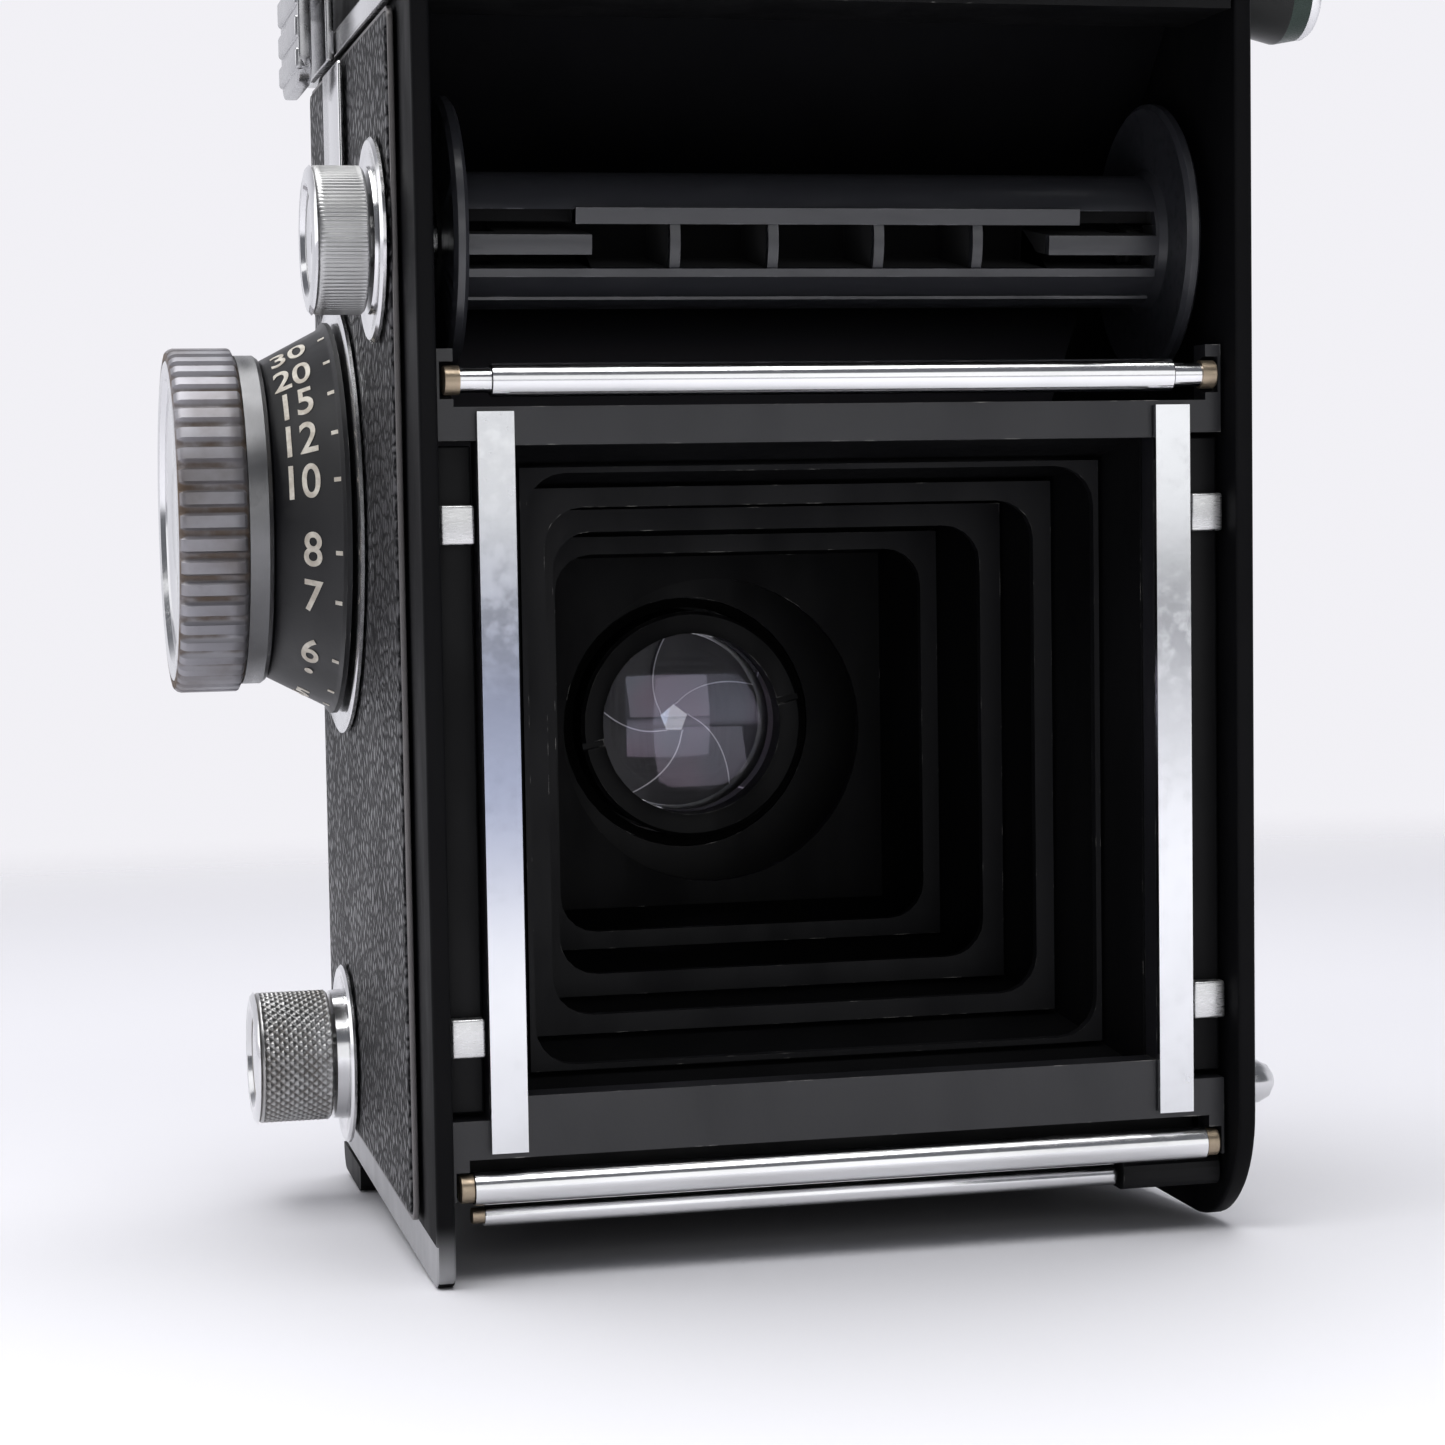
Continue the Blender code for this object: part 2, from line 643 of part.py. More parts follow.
def lens_glass(name, centre, radius, rear, front, bulge_rear, bulge_front):
    """A lens element: both faces are round caps that stand out by their bulges."""
    steps = 4
    front_face = [(radius * k / steps, front - bulge_front * (k / steps) ** 2) for k in range(steps + 1)]
    rear_face = [(radius * k / steps, rear + bulge_rear * (k / steps) ** 2) for k in range(steps, -1, -1)]
    return finished(turned(name, "depth", centre, front_face + rear_face, None, 32), GLASS)


def iris():
    blades = disc("iris", "depth", (0, GATE_Z), 9.1, 69.0, 69.5)
    cut(blades, disc("aperture", "depth", (0, GATE_Z), 1.35, 60, 80, steps=5))
    return finished(blades, SATIN)


def control_wheel(name, x):
    profile = [(0, 76.4), (4.6, 76.4), (5.5, 75.8), (5.5, 71.6), (4.9, 70.9), (0, 70.9)]
    return finished(turned(name, "depth", (x, GATE_Z + LENS_SPACING / 2), profile, None, 28), CHROME)


def shutter_release():
    profile = [(0, 76.6), (2.6, 76.6), (3.3, 76.0), (3.3, 74.0), (1.2, 74.0), (1.2, 69.9), (0, 69.9)]
    return finished(turned("shutter_release", "depth", (19.0, 26.0), profile, None, SMALL_STEPS), CHROME)


# The viewfinder

def hood_base():
    base = box("hood_base", (-33.8, 9.6, BODY_TOP + GAP), (33.8, FRONT_DEPTH, 120.6))
    cut(base, box("opening", (-27.5, 13.0, 110.0), (27.5, 61.0, 130.0)))
    join(
        base,
        box("left_rail", (28.6, 15.8, 119.5), (33.8, 62.0, LEFT_FLAP_Z - 0.8)),
        box("right_rail", (-33.8, 15.8, 119.5), (-28.6, 62.0, RIGHT_FLAP_Z - 0.8)),
        box("rear_rail", (-33.8, 9.6, 119.5), (33.8, 15.3, REAR_FLAP_HINGE[1] - 0.8)),
        box("front_rail", (-33.8, 62.3, 119.5), (33.8, FRONT_DEPTH, LID_HINGE[1] - 0.8)),
    )
    return finished(base, BLACK_PAINT)


def hood_flap(name, side, hinge_z):
    low, top = hinge_z - 0.3, hinge_z + FLAP_HEIGHT
    corners = [(16.5, low, 0.0), (61.5, low, 0.0), (61.5, top, 3.0), (16.5, top - 8.0, 3.0)]
    inner, outer = side * (FLAP_HINGE_X - 0.35), side * (FLAP_HINGE_X + 0.35)
    return finished(slab(name, "side", rounded(corners, 3), inner, outer), BLACK_PAINT)


def hood_rear_flap():
    depth, low = REAR_FLAP_HINGE
    top = low + REAR_FLAP_HEIGHT
    corners = [(-28.5, low - 0.3, 0.0), (28.5, low - 0.3, 0.0), (28.5, top, 3.0), (-28.5, top, 3.0)]
    flap = slab("hood_rear_flap", "front", rounded(corners, 3), depth - 0.35, depth + 0.35)
    return finished(flap, BLACK_PAINT)


def hood_lid():
    depth, low = LID_HINGE
    top = low + LID_HEIGHT
    corners = [(-28.9, low - 0.3, 0.0), (28.9, low - 0.3, 0.0), (28.9, top, 4.0), (-28.9, top, 4.0)]
    return finished(slab("hood_lid", "front", rounded(corners, 3), depth - 0.5, depth + 0.5), BLACK_PAINT)


def magnifier():
    top = MAGNIFIER_HINGE[1] + 0.5
    corners = [(-14.0, top - 31.0, 8.0), (14.0, top - 31.0, 8.0), (14.0, top, 1.0), (-14.0, top, 1.0)]
    frame = slab("magnifier", "front", rounded(corners), 61.6, 62.9)
    return finished(frame, GLASS)


def build_body():
    cheek("left_cheek", 1)
    cheek("right_cheek", -1)
    leather("left_leather", 1)
    leather("right_leather", -1)
    front_wall()
    front_sill()
    chamber_roof()
    sloping_plate("mirror_wall", -1.0, 68.0, 1.5, 2.7, FITTED_HALF, MATT_BLACK)
    sloping_plate("reflex_mirror", 0.0, 66.0, 0.0, 1.2, 28.0, MIRROR)
    gate_frame()
    film_rail("film_rail_left", 1)
    film_rail("film_rail_right", -1)
    film_guide("guide_left", 1)
    film_guide("guide_right", -1)
    light_chamber()
    for number, (depth, opening) in enumerate(BAFFLES, 1):
        baffle_frame(number, depth, opening)
    strap_lug("strap_lug_left", 1)
    strap_lug("strap_lug_right", -1)
    side_stud()


def build_film_transport():
    rollers()
    feeler_bracket()
    pivot("spool_axis", at(0, *SPOOL_AXIS), [takeup_spool(), spool_drive_key()])
    spool_knob("upper_spool_knob", SPOOL_AXIS, 38.4, 43.5, 6.4, 0.8)
    washer("upper_knob_ring", SPOOL_AXIS, 3.0, 8.8, FITTING_FACE, FITTING_FACE + 0.5, CHROME)
    spool_knob("lower_spool_knob", SUPPLY_AXIS, 39.3, 46.9, 6.35, 0.6)
    washer("lower_knob_ring", SUPPLY_AXIS, 3.0, 8.7, FITTING_FACE, FITTING_FACE + 0.5, CHROME)
    hub, arm, handle = crank()
    pivot("crank_axis", at(0, *CRANK_AXIS), [hub, arm])


def build_focusing():
    pivot("focus_axis", at(0, *FOCUS_AXIS), [focus_knob(), focus_dial()])
    washer("focus_ring", FOCUS_AXIS, 3.6, 20.6, FITTING_FACE, FITTING_FACE + 0.5, CHROME)
    index_plate()
    lens_panel()
    taking_barrel()
    lens_glass("taking_rear_lens", (0, GATE_Z), 9.1, 63.0, 67.0, 0.8, 0.4)
    lens_glass("taking_front_lens", (0, GATE_Z), 11.1, 77.0, 81.0, 0.4, 1.6)
    iris()
    viewing_barrel()
    lens_glass("viewing_lens", (0, VIEW_Z), 12.1, 75.0, 80.0, 0.4, 1.8)
    control_wheel("aperture_wheel", 19.0)
    control_wheel("speed_wheel", -19.0)
    shutter_release()


def build_viewfinder():
    finished(box("focusing_screen", (-28.5, 11.0, 116.2), (28.5, 62.8, BODY_TOP - GAP)), GLASS)
    hood_base()
    left, right = hood_flap("hood_left_flap", 1, LEFT_FLAP_Z), hood_flap("hood_right_flap", -1, RIGHT_FLAP_Z)
    pivot("left_flap_axis", at(FLAP_HINGE_X, 39.0, LEFT_FLAP_Z), [left])
    pivot("right_flap_axis", at(-FLAP_HINGE_X, 39.0, RIGHT_FLAP_Z), [right])
    pivot("rear_flap_axis", at(0, *REAR_FLAP_HINGE), [hood_rear_flap()])
    pivot("lid_axis", at(0, *LID_HINGE), [hood_lid()])
    pivot("magnifier_axis", at(0, *MAGNIFIER_HINGE), [magnifier()])


def build_back():
    pieces = [back_door(), pressure_plate(), door_latch(), tripod_socket()]
    pivot("door_axis", at(0, *DOOR_HINGE), pieces, math.radians(DOOR_OPEN))


clear_scene()
build_body()
build_film_transport()
build_focusing()
build_viewfinder()
build_back()
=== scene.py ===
"""The look of the twin lens reflex camera, seen from behind with its back swung up."""

import math

import bmesh
import bpy
from mathutils import Matrix, Vector


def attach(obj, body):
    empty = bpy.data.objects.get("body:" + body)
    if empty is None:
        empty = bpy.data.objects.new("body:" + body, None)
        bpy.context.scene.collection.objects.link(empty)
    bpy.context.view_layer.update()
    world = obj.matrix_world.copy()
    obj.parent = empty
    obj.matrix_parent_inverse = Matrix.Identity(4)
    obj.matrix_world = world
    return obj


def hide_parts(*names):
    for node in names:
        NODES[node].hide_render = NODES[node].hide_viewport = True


MM = 0.001
FILM_Y = 59.0
GATE_Z = 45.0
TAKING_AXIS = (0, GATE_Z)
VIEWING_AXIS = (0, 87.0)
RIM_INNER = 34.7
RIM_HALF = 36.3
LEATHER_BED = 36.6
SIDE = 37.3
FACE = 37.6
SPOOL_SHIFT = -0.5
BARE_METAL_TOP = 6.6
CHEEK_REAR_Y = 60.9
TIP_BARE_TO = 3.2
TIP_PAINTED_FROM = 8.5
NUMBER_HEIGHT = 4.5
NUMBER_SQUEEZE = 0.86
RANGE_DOT_TURN = -57.0
NOISE_ROUGHNESS = 0.55
SPOOL_TILT = -9.0
CONE_SMALL = (15.05, 44.9)
CONE_LARGE = (18.0, 39.3)
SPOOL_AXIS = (14.0, 90.9)
SUPPLY_AXIS = (50.0, 14.4)
FOCUS_AXIS = (46.0, 66.9)
CRANK_AXIS = (30.0, 83.0)
HANDLE_AXIS = (30.0, 116.2)
STUD_AXIS = (9.0, 14.3)
UPPER_ROLLER = (0.6, 78.4)
LOWER_ROLLER = (0.9, 10.7)
FEELER_ROLLER = (3.0, 7.9)
DOOR_HINGE = (-5.5, 113.5)
DOOR_OPEN = math.radians(197.0)
VIEW_LENS = 81.47
VIEW_PLACE = (72.86, -268.87, 68.79)
VIEW_AHEAD = (-0.2247, -0.9719, -0.0701)
VIEW_UP = (-0.0312, -0.0647, 0.9974)
FLOOR_LEAN = math.radians(3.1)

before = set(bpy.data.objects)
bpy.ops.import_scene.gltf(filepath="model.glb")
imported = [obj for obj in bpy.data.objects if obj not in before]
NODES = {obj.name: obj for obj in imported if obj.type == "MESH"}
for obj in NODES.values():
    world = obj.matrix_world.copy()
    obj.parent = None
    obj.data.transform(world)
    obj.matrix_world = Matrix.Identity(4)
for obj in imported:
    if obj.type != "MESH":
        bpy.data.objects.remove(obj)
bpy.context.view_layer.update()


def at(x, depth, z):
    """A point in metres from millimetres across, in depth from the film plane and up."""
    return Vector((x, FILM_Y - depth, z)) * MM


def in_scene(name, data):
    made = bpy.data.objects.new(name, data)
    bpy.context.scene.collection.objects.link(made)
    return made


def evaluated(holder):
    """The finished mesh of an object, which is then removed."""
    bpy.context.view_layer.update()
    mesh = bpy.data.meshes.new_from_object(holder.evaluated_get(bpy.context.evaluated_depsgraph_get()))
    bpy.data.objects.remove(holder, do_unlink=True)
    return mesh


def plain_mesh(bm, name):
    mesh = bpy.data.meshes.new(name)
    bm.to_mesh(mesh)
    bm.free()
    return mesh


# Camera, floor and light

def add_camera():
    data = bpy.data.cameras.new("camera")
    data.sensor_width = 36.0
    data.lens = VIEW_LENS
    data.clip_start = 0.01
    data.clip_end = 50.0
    camera = in_scene("camera", data)
    forward = Vector(VIEW_AHEAD).normalized()
    right = forward.cross(Vector(VIEW_UP)).normalized()
    turn = Matrix((right, right.cross(forward), -forward)).transposed()
    camera.matrix_world = Matrix.Translation(at(*VIEW_PLACE)) @ turn.to_4x4()
    bpy.context.scene.camera = camera


def link(tree, socket, value):
    if isinstance(value, bpy.types.NodeSocket):
        tree.links.new(value, socket)
    else:
        socket.default_value = value


def node(tree, kind, inputs=None, **settings):
    """A shader node with its settings and inputs. An input's value may be another node's output."""
    made = tree.nodes.new("ShaderNode" + kind)
    for name, value in settings.items():
        setattr(made, name, value)
    for key, value in (inputs or {}).items():
        link(tree, made.inputs[key], value)
    return made


def math_node(tree, operation, a, b=0.0, c=0.0):
    return node(tree, "Math", {0: a, 1: b, 2: c}, operation=operation).outputs[0]


def ramp(tree, value, low, high, start=0.0, end=1.0):
    made = node(
        tree, "MapRange",
        {"Value": value, "From Min": low, "From Max": high, "To Min": start, "To Max": end}
    )
    made.interpolation_type = "SMOOTHSTEP"
    return made.outputs[0]


def blend_colours(tree, share, first, second):
    made = node(tree, "Mix", data_type="RGBA")
    for index, value in ((0, share), (6, first), (7, second)):
        link(tree, made.inputs[index], value)
    return made.outputs[2]


def object_space(tree):
    return node(tree, "TexCoord").outputs["Object"]


def noise(tree, scale, detail=3.0, stretch=None):
    place = object_space(tree)
    if stretch:
        place = node(tree, "Mapping", {"Vector": place, "Scale": stretch}).outputs[0]
    return node(
        tree, "TexNoise", {"Vector": place, "Scale": scale, "Detail": detail, "Roughness": NOISE_ROUGHNESS}
    ).outputs[0]


def edges(tree, radius):
    """How near a surface point is to an edge, from 0 to 1."""
    rounded = node(tree, "Bevel", {"Radius": radius * MM}, samples=6).outputs[0]
    normal = node(tree, "NewGeometry").outputs["Normal"]
    apart = node(tree, "VectorMath", {0: rounded, 1: normal}, operation="DOT_PRODUCT").outputs["Value"]
    return ramp(tree, math_node(tree, "SUBTRACT", 1.0, apart), 0.03, 0.3)


def coordinates(tree):
    return node(tree, "SeparateXYZ", {0: object_space(tree)}).outputs


def shade(colour, share=1.0):
    """A colour made darker or lighter, with full alpha."""
    return (*[c * share for c in colour], 1)


def material(name, colour, roughness, metallic=0.0, **sockets):
    """A Principled material and its tree and shader, with plain values set on the shader's own sockets."""
    made = bpy.data.materials.new(name)
    made.use_nodes = True
    tree = made.node_tree
    shader = tree.nodes["Principled BSDF"]
    shader.inputs["Base Color"].default_value = (*colour, 1.0)
    shader.inputs["Roughness"].default_value = roughness
    shader.inputs["Metallic"].default_value = metallic
    for key, value in sockets.items():
        shader.inputs[key.replace("_", " ")].default_value = value
    return made, tree, shader


def drive(shader, name, value):
    """Sets a socket of the shader from a value or another node's output."""
    link(shader.id_data, shader.inputs[name], value)


def bump(tree, shader, height, distance, strength=1.0):
    made = node(tree, "Bump", {"Height": height, "Distance": distance * MM, "Strength": strength})
    drive(shader, "Normal", made.outputs[0])


def leather_look():
    made, tree, shader = material("leather_grain", (0.016, 0.016, 0.018), 0.4, Specular_IOR_Level=0.62)
    place = object_space(tree)
    wander = node(tree, "TexNoise", {"Vector": place, "Scale": 500.0, "Detail": 2.0}).outputs["Color"]
    shifted = node(tree, "VectorMath", {0: wander, "Scale": 0.0011}, operation="SCALE").outputs[0]
    bent = node(tree, "VectorMath", {0: place, 1: shifted}, operation="ADD").outputs[0]
    cells = node(
        tree, "TexVoronoi", {"Vector": bent, "Scale": 800.0}, feature="DISTANCE_TO_EDGE"
    ).outputs["Distance"]
    pebble = ramp(tree, cells, 0.0, 0.34)
    fine = noise(tree, 3800.0, 3.0)
    height = math_node(tree, "MULTIPLY_ADD", fine, 0.22, pebble)
    bump(tree, shader, height, 0.26, 1.0)
    broad = noise(tree, 60.0, 2.0)
    drive(
        shader, "Roughness",
        math_node(tree, "MULTIPLY_ADD", broad, 0.18, ramp(tree, pebble, 0.0, 1.0, 0.5, 0.27))
    )
    # Painted shade: the creases between the pebbles are coloured darker than the pebble tops and made
    # metallic, so that they reflect less.
    tone = blend_colours(tree, pebble, (0.004, 0.004, 0.005, 1), (0.034, 0.033, 0.038, 1))
    drive(shader, "Base Color", tone)
    drive(shader, "Metallic", ramp(tree, pebble, 0.0, 0.6, 0.85, 0.0))
    return made


def enamel_look(name, colour=(0.004, 0.004, 0.0045), roughness=0.5, wear=0.5, rim=0.22, gloss=0.3):
    """Black enamel, with the metal showing where its edges have rubbed."""
    made, tree, shader = material(name, colour, roughness, Specular_IOR_Level=gloss)
    patchy = ramp(tree, noise(tree, 420.0, 5.0), 0.62 - 0.14 * wear, 0.72)
    rubbed = math_node(tree, "MULTIPLY", edges(tree, rim), patchy)
    dull = blend_colours(tree, noise(tree, 90.0, 4.0), shade(colour, 0.75), shade(colour, 1.35))
    drive(shader, "Base Color", blend_colours(tree, rubbed, dull, (0.42, 0.41, 0.39, 1)))
    drive(shader, "Metallic", rubbed)
    grain = noise(tree, 2600.0, 2.0)
    smears = ramp(
        tree, noise(tree, 130.0, 4.0, (1.0, 1.0, 0.35)), 0.35, 0.7, roughness - 0.07, roughness + 0.12
    )
    drive(shader, "Roughness", smears)
    bump(tree, shader, grain, 0.012, 0.6)
    return made


def cheek_look():
    """Black enamel that ends low on the outside, above bare metal, and is rubbed at the supply side's tip."""
    made = enamel_look("cheek_enamel", (0.0028, 0.0028, 0.0034), 0.54, 0.45, 0.22, 0.09)
    tree = made.node_tree
    shader = tree.nodes["Principled BSDF"]
    place = coordinates(tree)
    outside = math_node(tree, "GREATER_THAN", math_node(tree, "ABSOLUTE", place[0]), 36.15 * MM)
    low = math_node(tree, "LESS_THAN", place[2], BARE_METAL_TOP * MM)
    supply_side = math_node(tree, "GREATER_THAN", place[0], 0.0)
    rear = math_node(tree, "GREATER_THAN", place[1], CHEEK_REAR_Y * MM)
    rubbed = ramp(tree, place[2], TIP_BARE_TO * MM, TIP_PAINTED_FROM * MM, 0.8, 0.0)
    tip = math_node(tree, "MULTIPLY", rear, rubbed)
    tip = math_node(tree, "MULTIPLY", tip, supply_side)
    bare = math_node(tree, "MAXIMUM", math_node(tree, "MULTIPLY", low, outside), tip)
    painted = shader.inputs["Base Color"].links[0].from_socket
    dull = blend_colours(tree, noise(tree, 300.0, 4.0), (0.36, 0.36, 0.37, 1), (0.50, 0.50, 0.51, 1))
    drive(shader, "Base Color", blend_colours(tree, bare, painted, dull))
    wear_and_highlight = shader.inputs["Metallic"].links[0].from_socket
    drive(shader, "Metallic", math_node(tree, "MAXIMUM", wear_and_highlight, bare))
    return made


def chrome_look(name="chrome", colour=(0.78, 0.78, 0.79), roughness=0.09, haze=0.12):
    """Bright plating with fine rubbing marks and a little haze."""
    made, tree, shader = material(name, colour, roughness, 1.0)
    marks = noise(tree, 700.0, 5.0, (1.0, 6.0, 1.0))
    cloud = noise(tree, 45.0, 4.0)
    mixed = math_node(tree, "MULTIPLY", marks, cloud)
    drive(shader, "Roughness", ramp(tree, mixed, 0.2, 0.45, roughness, roughness + haze))
    bump(tree, shader, noise(tree, 900.0, 2.0), 0.003, 0.5)
    tint = blend_colours(tree, ramp(tree, cloud, 0.35, 0.75), shade(colour), shade(colour, 0.86))
    drive(shader, "Base Color", tint)
    return made


def satin_look(name, colour=(0.6, 0.6, 0.6), roughness=0.3, stretch=(1.0, 1.0, 14.0), depth=0.006):
    """Ground or turned metal, with fine lines across the stretch."""
    made, tree, shader = material(name, colour, roughness, 1.0, Anisotropic=0.4)
    lines = noise(tree, 1500.0, 4.0, stretch)
    bump(tree, shader, lines, depth, 0.8)
    drive(shader, "Roughness", ramp(tree, lines, 0.3, 0.7, roughness - 0.06, roughness + 0.1))
    cloud = ramp(tree, noise(tree, 70.0, 5.0), 0.3, 0.75)
    drive(shader, "Base Color", blend_colours(tree, cloud, shade(colour), shade(colour, 0.82)))
    return made


def off_axis(tree, axis):
    """How far a surface point is from an axis across the camera."""
    centre = at(0.0, *axis)
    place = coordinates(tree)
    across = math_node(tree, "SUBTRACT", place[1], centre.y)
    up = math_node(tree, "SUBTRACT", place[2], centre.z)
    across = math_node(tree, "MULTIPLY", across, across)
    return math_node(tree, "SQRT", math_node(tree, "MULTIPLY_ADD", up, up, across))


def knurl_look(name, axis, crest, groove, colour=(0.66, 0.66, 0.65), dirt=(0.16, 0.12, 0.085), shine=0.22):
    """Plated knurling with old dirt between its ribs: dirt lies nearer the axis than the crests."""
    made, tree, shader = material(name, colour, shine, 1.0)
    low = ramp(tree, off_axis(tree, axis), groove * MM, crest * MM, 1.0, 0.0)
    patchy = ramp(tree, noise(tree, 260.0, 5.0), 0.3, 0.62)
    soiled = math_node(tree, "MULTIPLY", low, patchy)
    dull = ramp(tree, noise(tree, 110.0, 5.0), 0.35, 0.7)
    metal = blend_colours(
        tree, dull, shade(colour), (colour[0] * 0.62, colour[1] * 0.58, colour[2] * 0.54, 1)
    )
    drive(shader, "Base Color", blend_colours(tree, soiled, metal, shade(dirt)))
    drive(shader, "Metallic", math_node(tree, "SUBTRACT", 1.0, soiled))
    drive(shader, "Roughness", ramp(tree, soiled, 0.0, 1.0, shine, 0.75))
    bump(tree, shader, noise(tree, 1800.0, 3.0), 0.006, 0.7)
    return made


def plastic_look():
    made, tree, shader = material("spool_plastic", (0.032, 0.033, 0.039), 0.3, Specular_IOR_Level=0.7)
    scuffs = ramp(tree, noise(tree, 900.0, 5.0, (0.2, 1.0, 1.0)), 0.45, 0.75, 0.28, 0.5)
    # Painted shade: nearer the spool's axis than about 5 mm, inside the hollow core, the plastic is coloured
    # near black and made rough.
    painted_shade_inside = ramp(tree, off_axis(tree, SPOOL_AXIS), 4.7 * MM, 5.3 * MM, 1.0, 0.0)
    drive(shader, "Roughness", math_node(tree, "MAXIMUM", scuffs, painted_shade_inside))
    bump(tree, shader, noise(tree, 1500.0, 3.0), 0.008, 0.6)
    pale = math_node(tree, "MULTIPLY", edges(tree, 0.2), ramp(tree, noise(tree, 500.0, 4.0), 0.5, 0.7))
    outside = blend_colours(tree, pale, (0.032, 0.033, 0.039, 1), (0.2, 0.2, 0.22, 1))
    drive(shader, "Base Color", blend_colours(tree, painted_shade_inside, outside, (0.002, 0.002, 0.0025, 1)))
    return made


def glass_look(name, coat=(0.84, 0.66, 0.86), clear=0.045):
    """Lens glass seen straight through, with the coloured shine of its coating growing towards its rim."""
    made, tree, shader = material(name, coat, 0.02, 1.0)
    shine = node(tree, "Fresnel", {"IOR": 1.5}).outputs[0]
    dust = ramp(tree, noise(tree, 1400.0, 4.0), 0.62, 0.8, 0.0, 0.05)
    seen = math_node(tree, "MULTIPLY_ADD", shine, 1.0, math_node(tree, "ADD", dust, clear))
    shader.inputs["Alpha"].default_value = 0.3
    drive(shader, "Alpha", seen)
    hue = ramp(tree, noise(tree, 110.0, 1.0), 0.35, 0.65)
    tone = blend_colours(tree, hue, shade(coat), (coat[0] * 0.8, coat[1] * 1.05, coat[2], 1))
    drive(shader, "Base Color", tone)
    drive(shader, "Roughness", ramp(tree, dust, 0.0, 0.05, 0.015, 0.2))
    return made


def screen_look():
    made, tree, shader = material("ground_glass", (0.86, 0.87, 0.85), 0.4)
    shader.inputs["Transmission Weight"].default_value = 0.75
    bump(tree, shader, noise(tree, 4000.0, 3.0), 0.01, 0.8)
    place = coordinates(tree)
    lines = 0.0
    for index in (0, 1):
        cell = math_node(tree, "PINGPONG", place[index], 5.0 * MM)
        drawn = math_node(tree, "LESS_THAN", cell, 0.09 * MM)
        lines = math_node(tree, "MAXIMUM", lines, drawn)
    drive(shader, "Base Color", blend_colours(tree, lines, (0.86, 0.87, 0.85, 1), (0.05, 0.05, 0.05, 1)))
    return made


def number_look():
    made, tree, shader = material("number_paint", (0.62, 0.58, 0.5), 0.6)
    tone = ramp(tree, noise(tree, 900.0, 4.0), 0.3, 0.7)
    drive(shader, "Base Color", blend_colours(tree, tone, (0.74, 0.7, 0.62, 1), (0.5, 0.45, 0.38, 1)))
    return made


def floor_look():
    """A pale sheet with painted light, paler towards the camera, that fades into the pale room around it."""
    made, tree, shader = material("floor", (0.87, 0.865, 0.905), 0.6, Specular_IOR_Level=0.2)
    grain = noise(tree, 900.0, 3.0)
    bump(tree, shader, grain, 0.02, 0.25)
    depth = coordinates(tree)[1]
    # Painted light: the floor's colour grows paler towards the camera and darker away from it.
    painted_light_near = ramp(tree, depth, -0.12, 0.2)
    drive(shader, "Base Color", blend_colours(tree, painted_light_near, (0.67, 0.665, 0.70, 1), (0.95, 0.945, 0.98, 1)))
    away = node(tree, "VectorMath", {0: object_space(tree)}, operation="LENGTH").outputs["Value"]
    clear = node(tree, "BsdfTransparent")
    gone = ramp(tree, away, 0.30, 0.75)
    mixed = node(tree, "MixShader", {0: gone, 1: shader.outputs[0], 2: clear.outputs[0]})
    link(tree, tree.nodes["Material Output"].inputs[0], mixed.outputs[0])
    return made


def add_room():
    """A pale floor that the camera leans back on, an even pale world and soft lights."""
    bm = bmesh.new()
    bmesh.ops.create_circle(bm, cap_ends=True, segments=96, radius=1.2)
    floor = in_scene("floor", plain_mesh(bm, "floor"))
    floor.data.materials.append(floor_look())
    floor.location = at(0.0, 52.0, -0.05)
    floor.rotation_euler = (FLOOR_LEAN, 0.0, 0.0)

    world = bpy.data.worlds.new("room")
    bpy.context.scene.world = world
    world.use_nodes = True
    tree = world.node_tree
    sky = tree.nodes["Background"]
    direction = node(tree, "SeparateXYZ", {0: node(tree, "TexCoord").outputs["Generated"]})
    backdrop = ramp(tree, direction.outputs[1], -0.05, 0.35)
    room = blend_colours(tree, backdrop, (0.80, 0.80, 0.85, 1), (0.16, 0.165, 0.18, 1))
    raised = ramp(tree, direction.outputs[2], 0.25, 0.8)
    room = blend_colours(tree, raised, room, (0.14, 0.145, 0.16, 1))
    link(tree, sky.inputs["Color"], room)
    plain = node(tree, "Background", {"Color": (0.885, 0.877, 0.918, 1), "Strength": 1.0})
    seen = node(tree, "LightPath").outputs["Is Camera Ray"]
    mixed = node(tree, "MixShader", {0: seen, 1: sky.outputs[0], 2: plain.outputs[0]})
    link(tree, tree.nodes["World Output"].inputs[0], mixed.outputs[0])

    for name, place, aim, size, radiance in (
        ("top_light", (60.0, 60.0, 900.0), (0.0, 40.0, 0.0), (1.2, 1.0), 3.45),
        ("rear_light", (-120.0, -1150.0, 330.0), (0.0, 0.0, 60.0), (1.1, 0.6), 1.0),
        ("left_light", (900.0, 150.0, 420.0), (0.0, 30.0, 60.0), (0.7, 0.7), 1.0),
    ):
        data = bpy.data.lights.new(name, "AREA")
        data.shape = "RECTANGLE"
        data.size, data.size_y = size
        data.energy = radiance * math.pi * size[0] * size[1]
        lamp = in_scene(name, data)
        lamp.location = at(*place)
        lamp.rotation_euler = (lamp.location - at(*aim)).to_track_quat("Z", "Y").to_euler()
    bpy.context.scene.view_settings.view_transform = "Standard"


# Pieces

def piece(name, mesh, look, body, replaced=(), door=False):
    """A new piece on a CAD body, with the CAD nodes that it stands for."""
    made = in_scene(name, mesh)
    if look is not None:
        made.data.materials.clear()
        made.data.materials.append(look)
    if door:
        hinge = at(0.0, *DOOR_HINGE)
        swing = Matrix.Translation(hinge) @ Matrix.Rotation(DOOR_OPEN, 4, "X") @ Matrix.Translation(-hinge)
        made.data.transform(swing)
    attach(made, body)
    if replaced:
        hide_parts(*replaced)
    return made


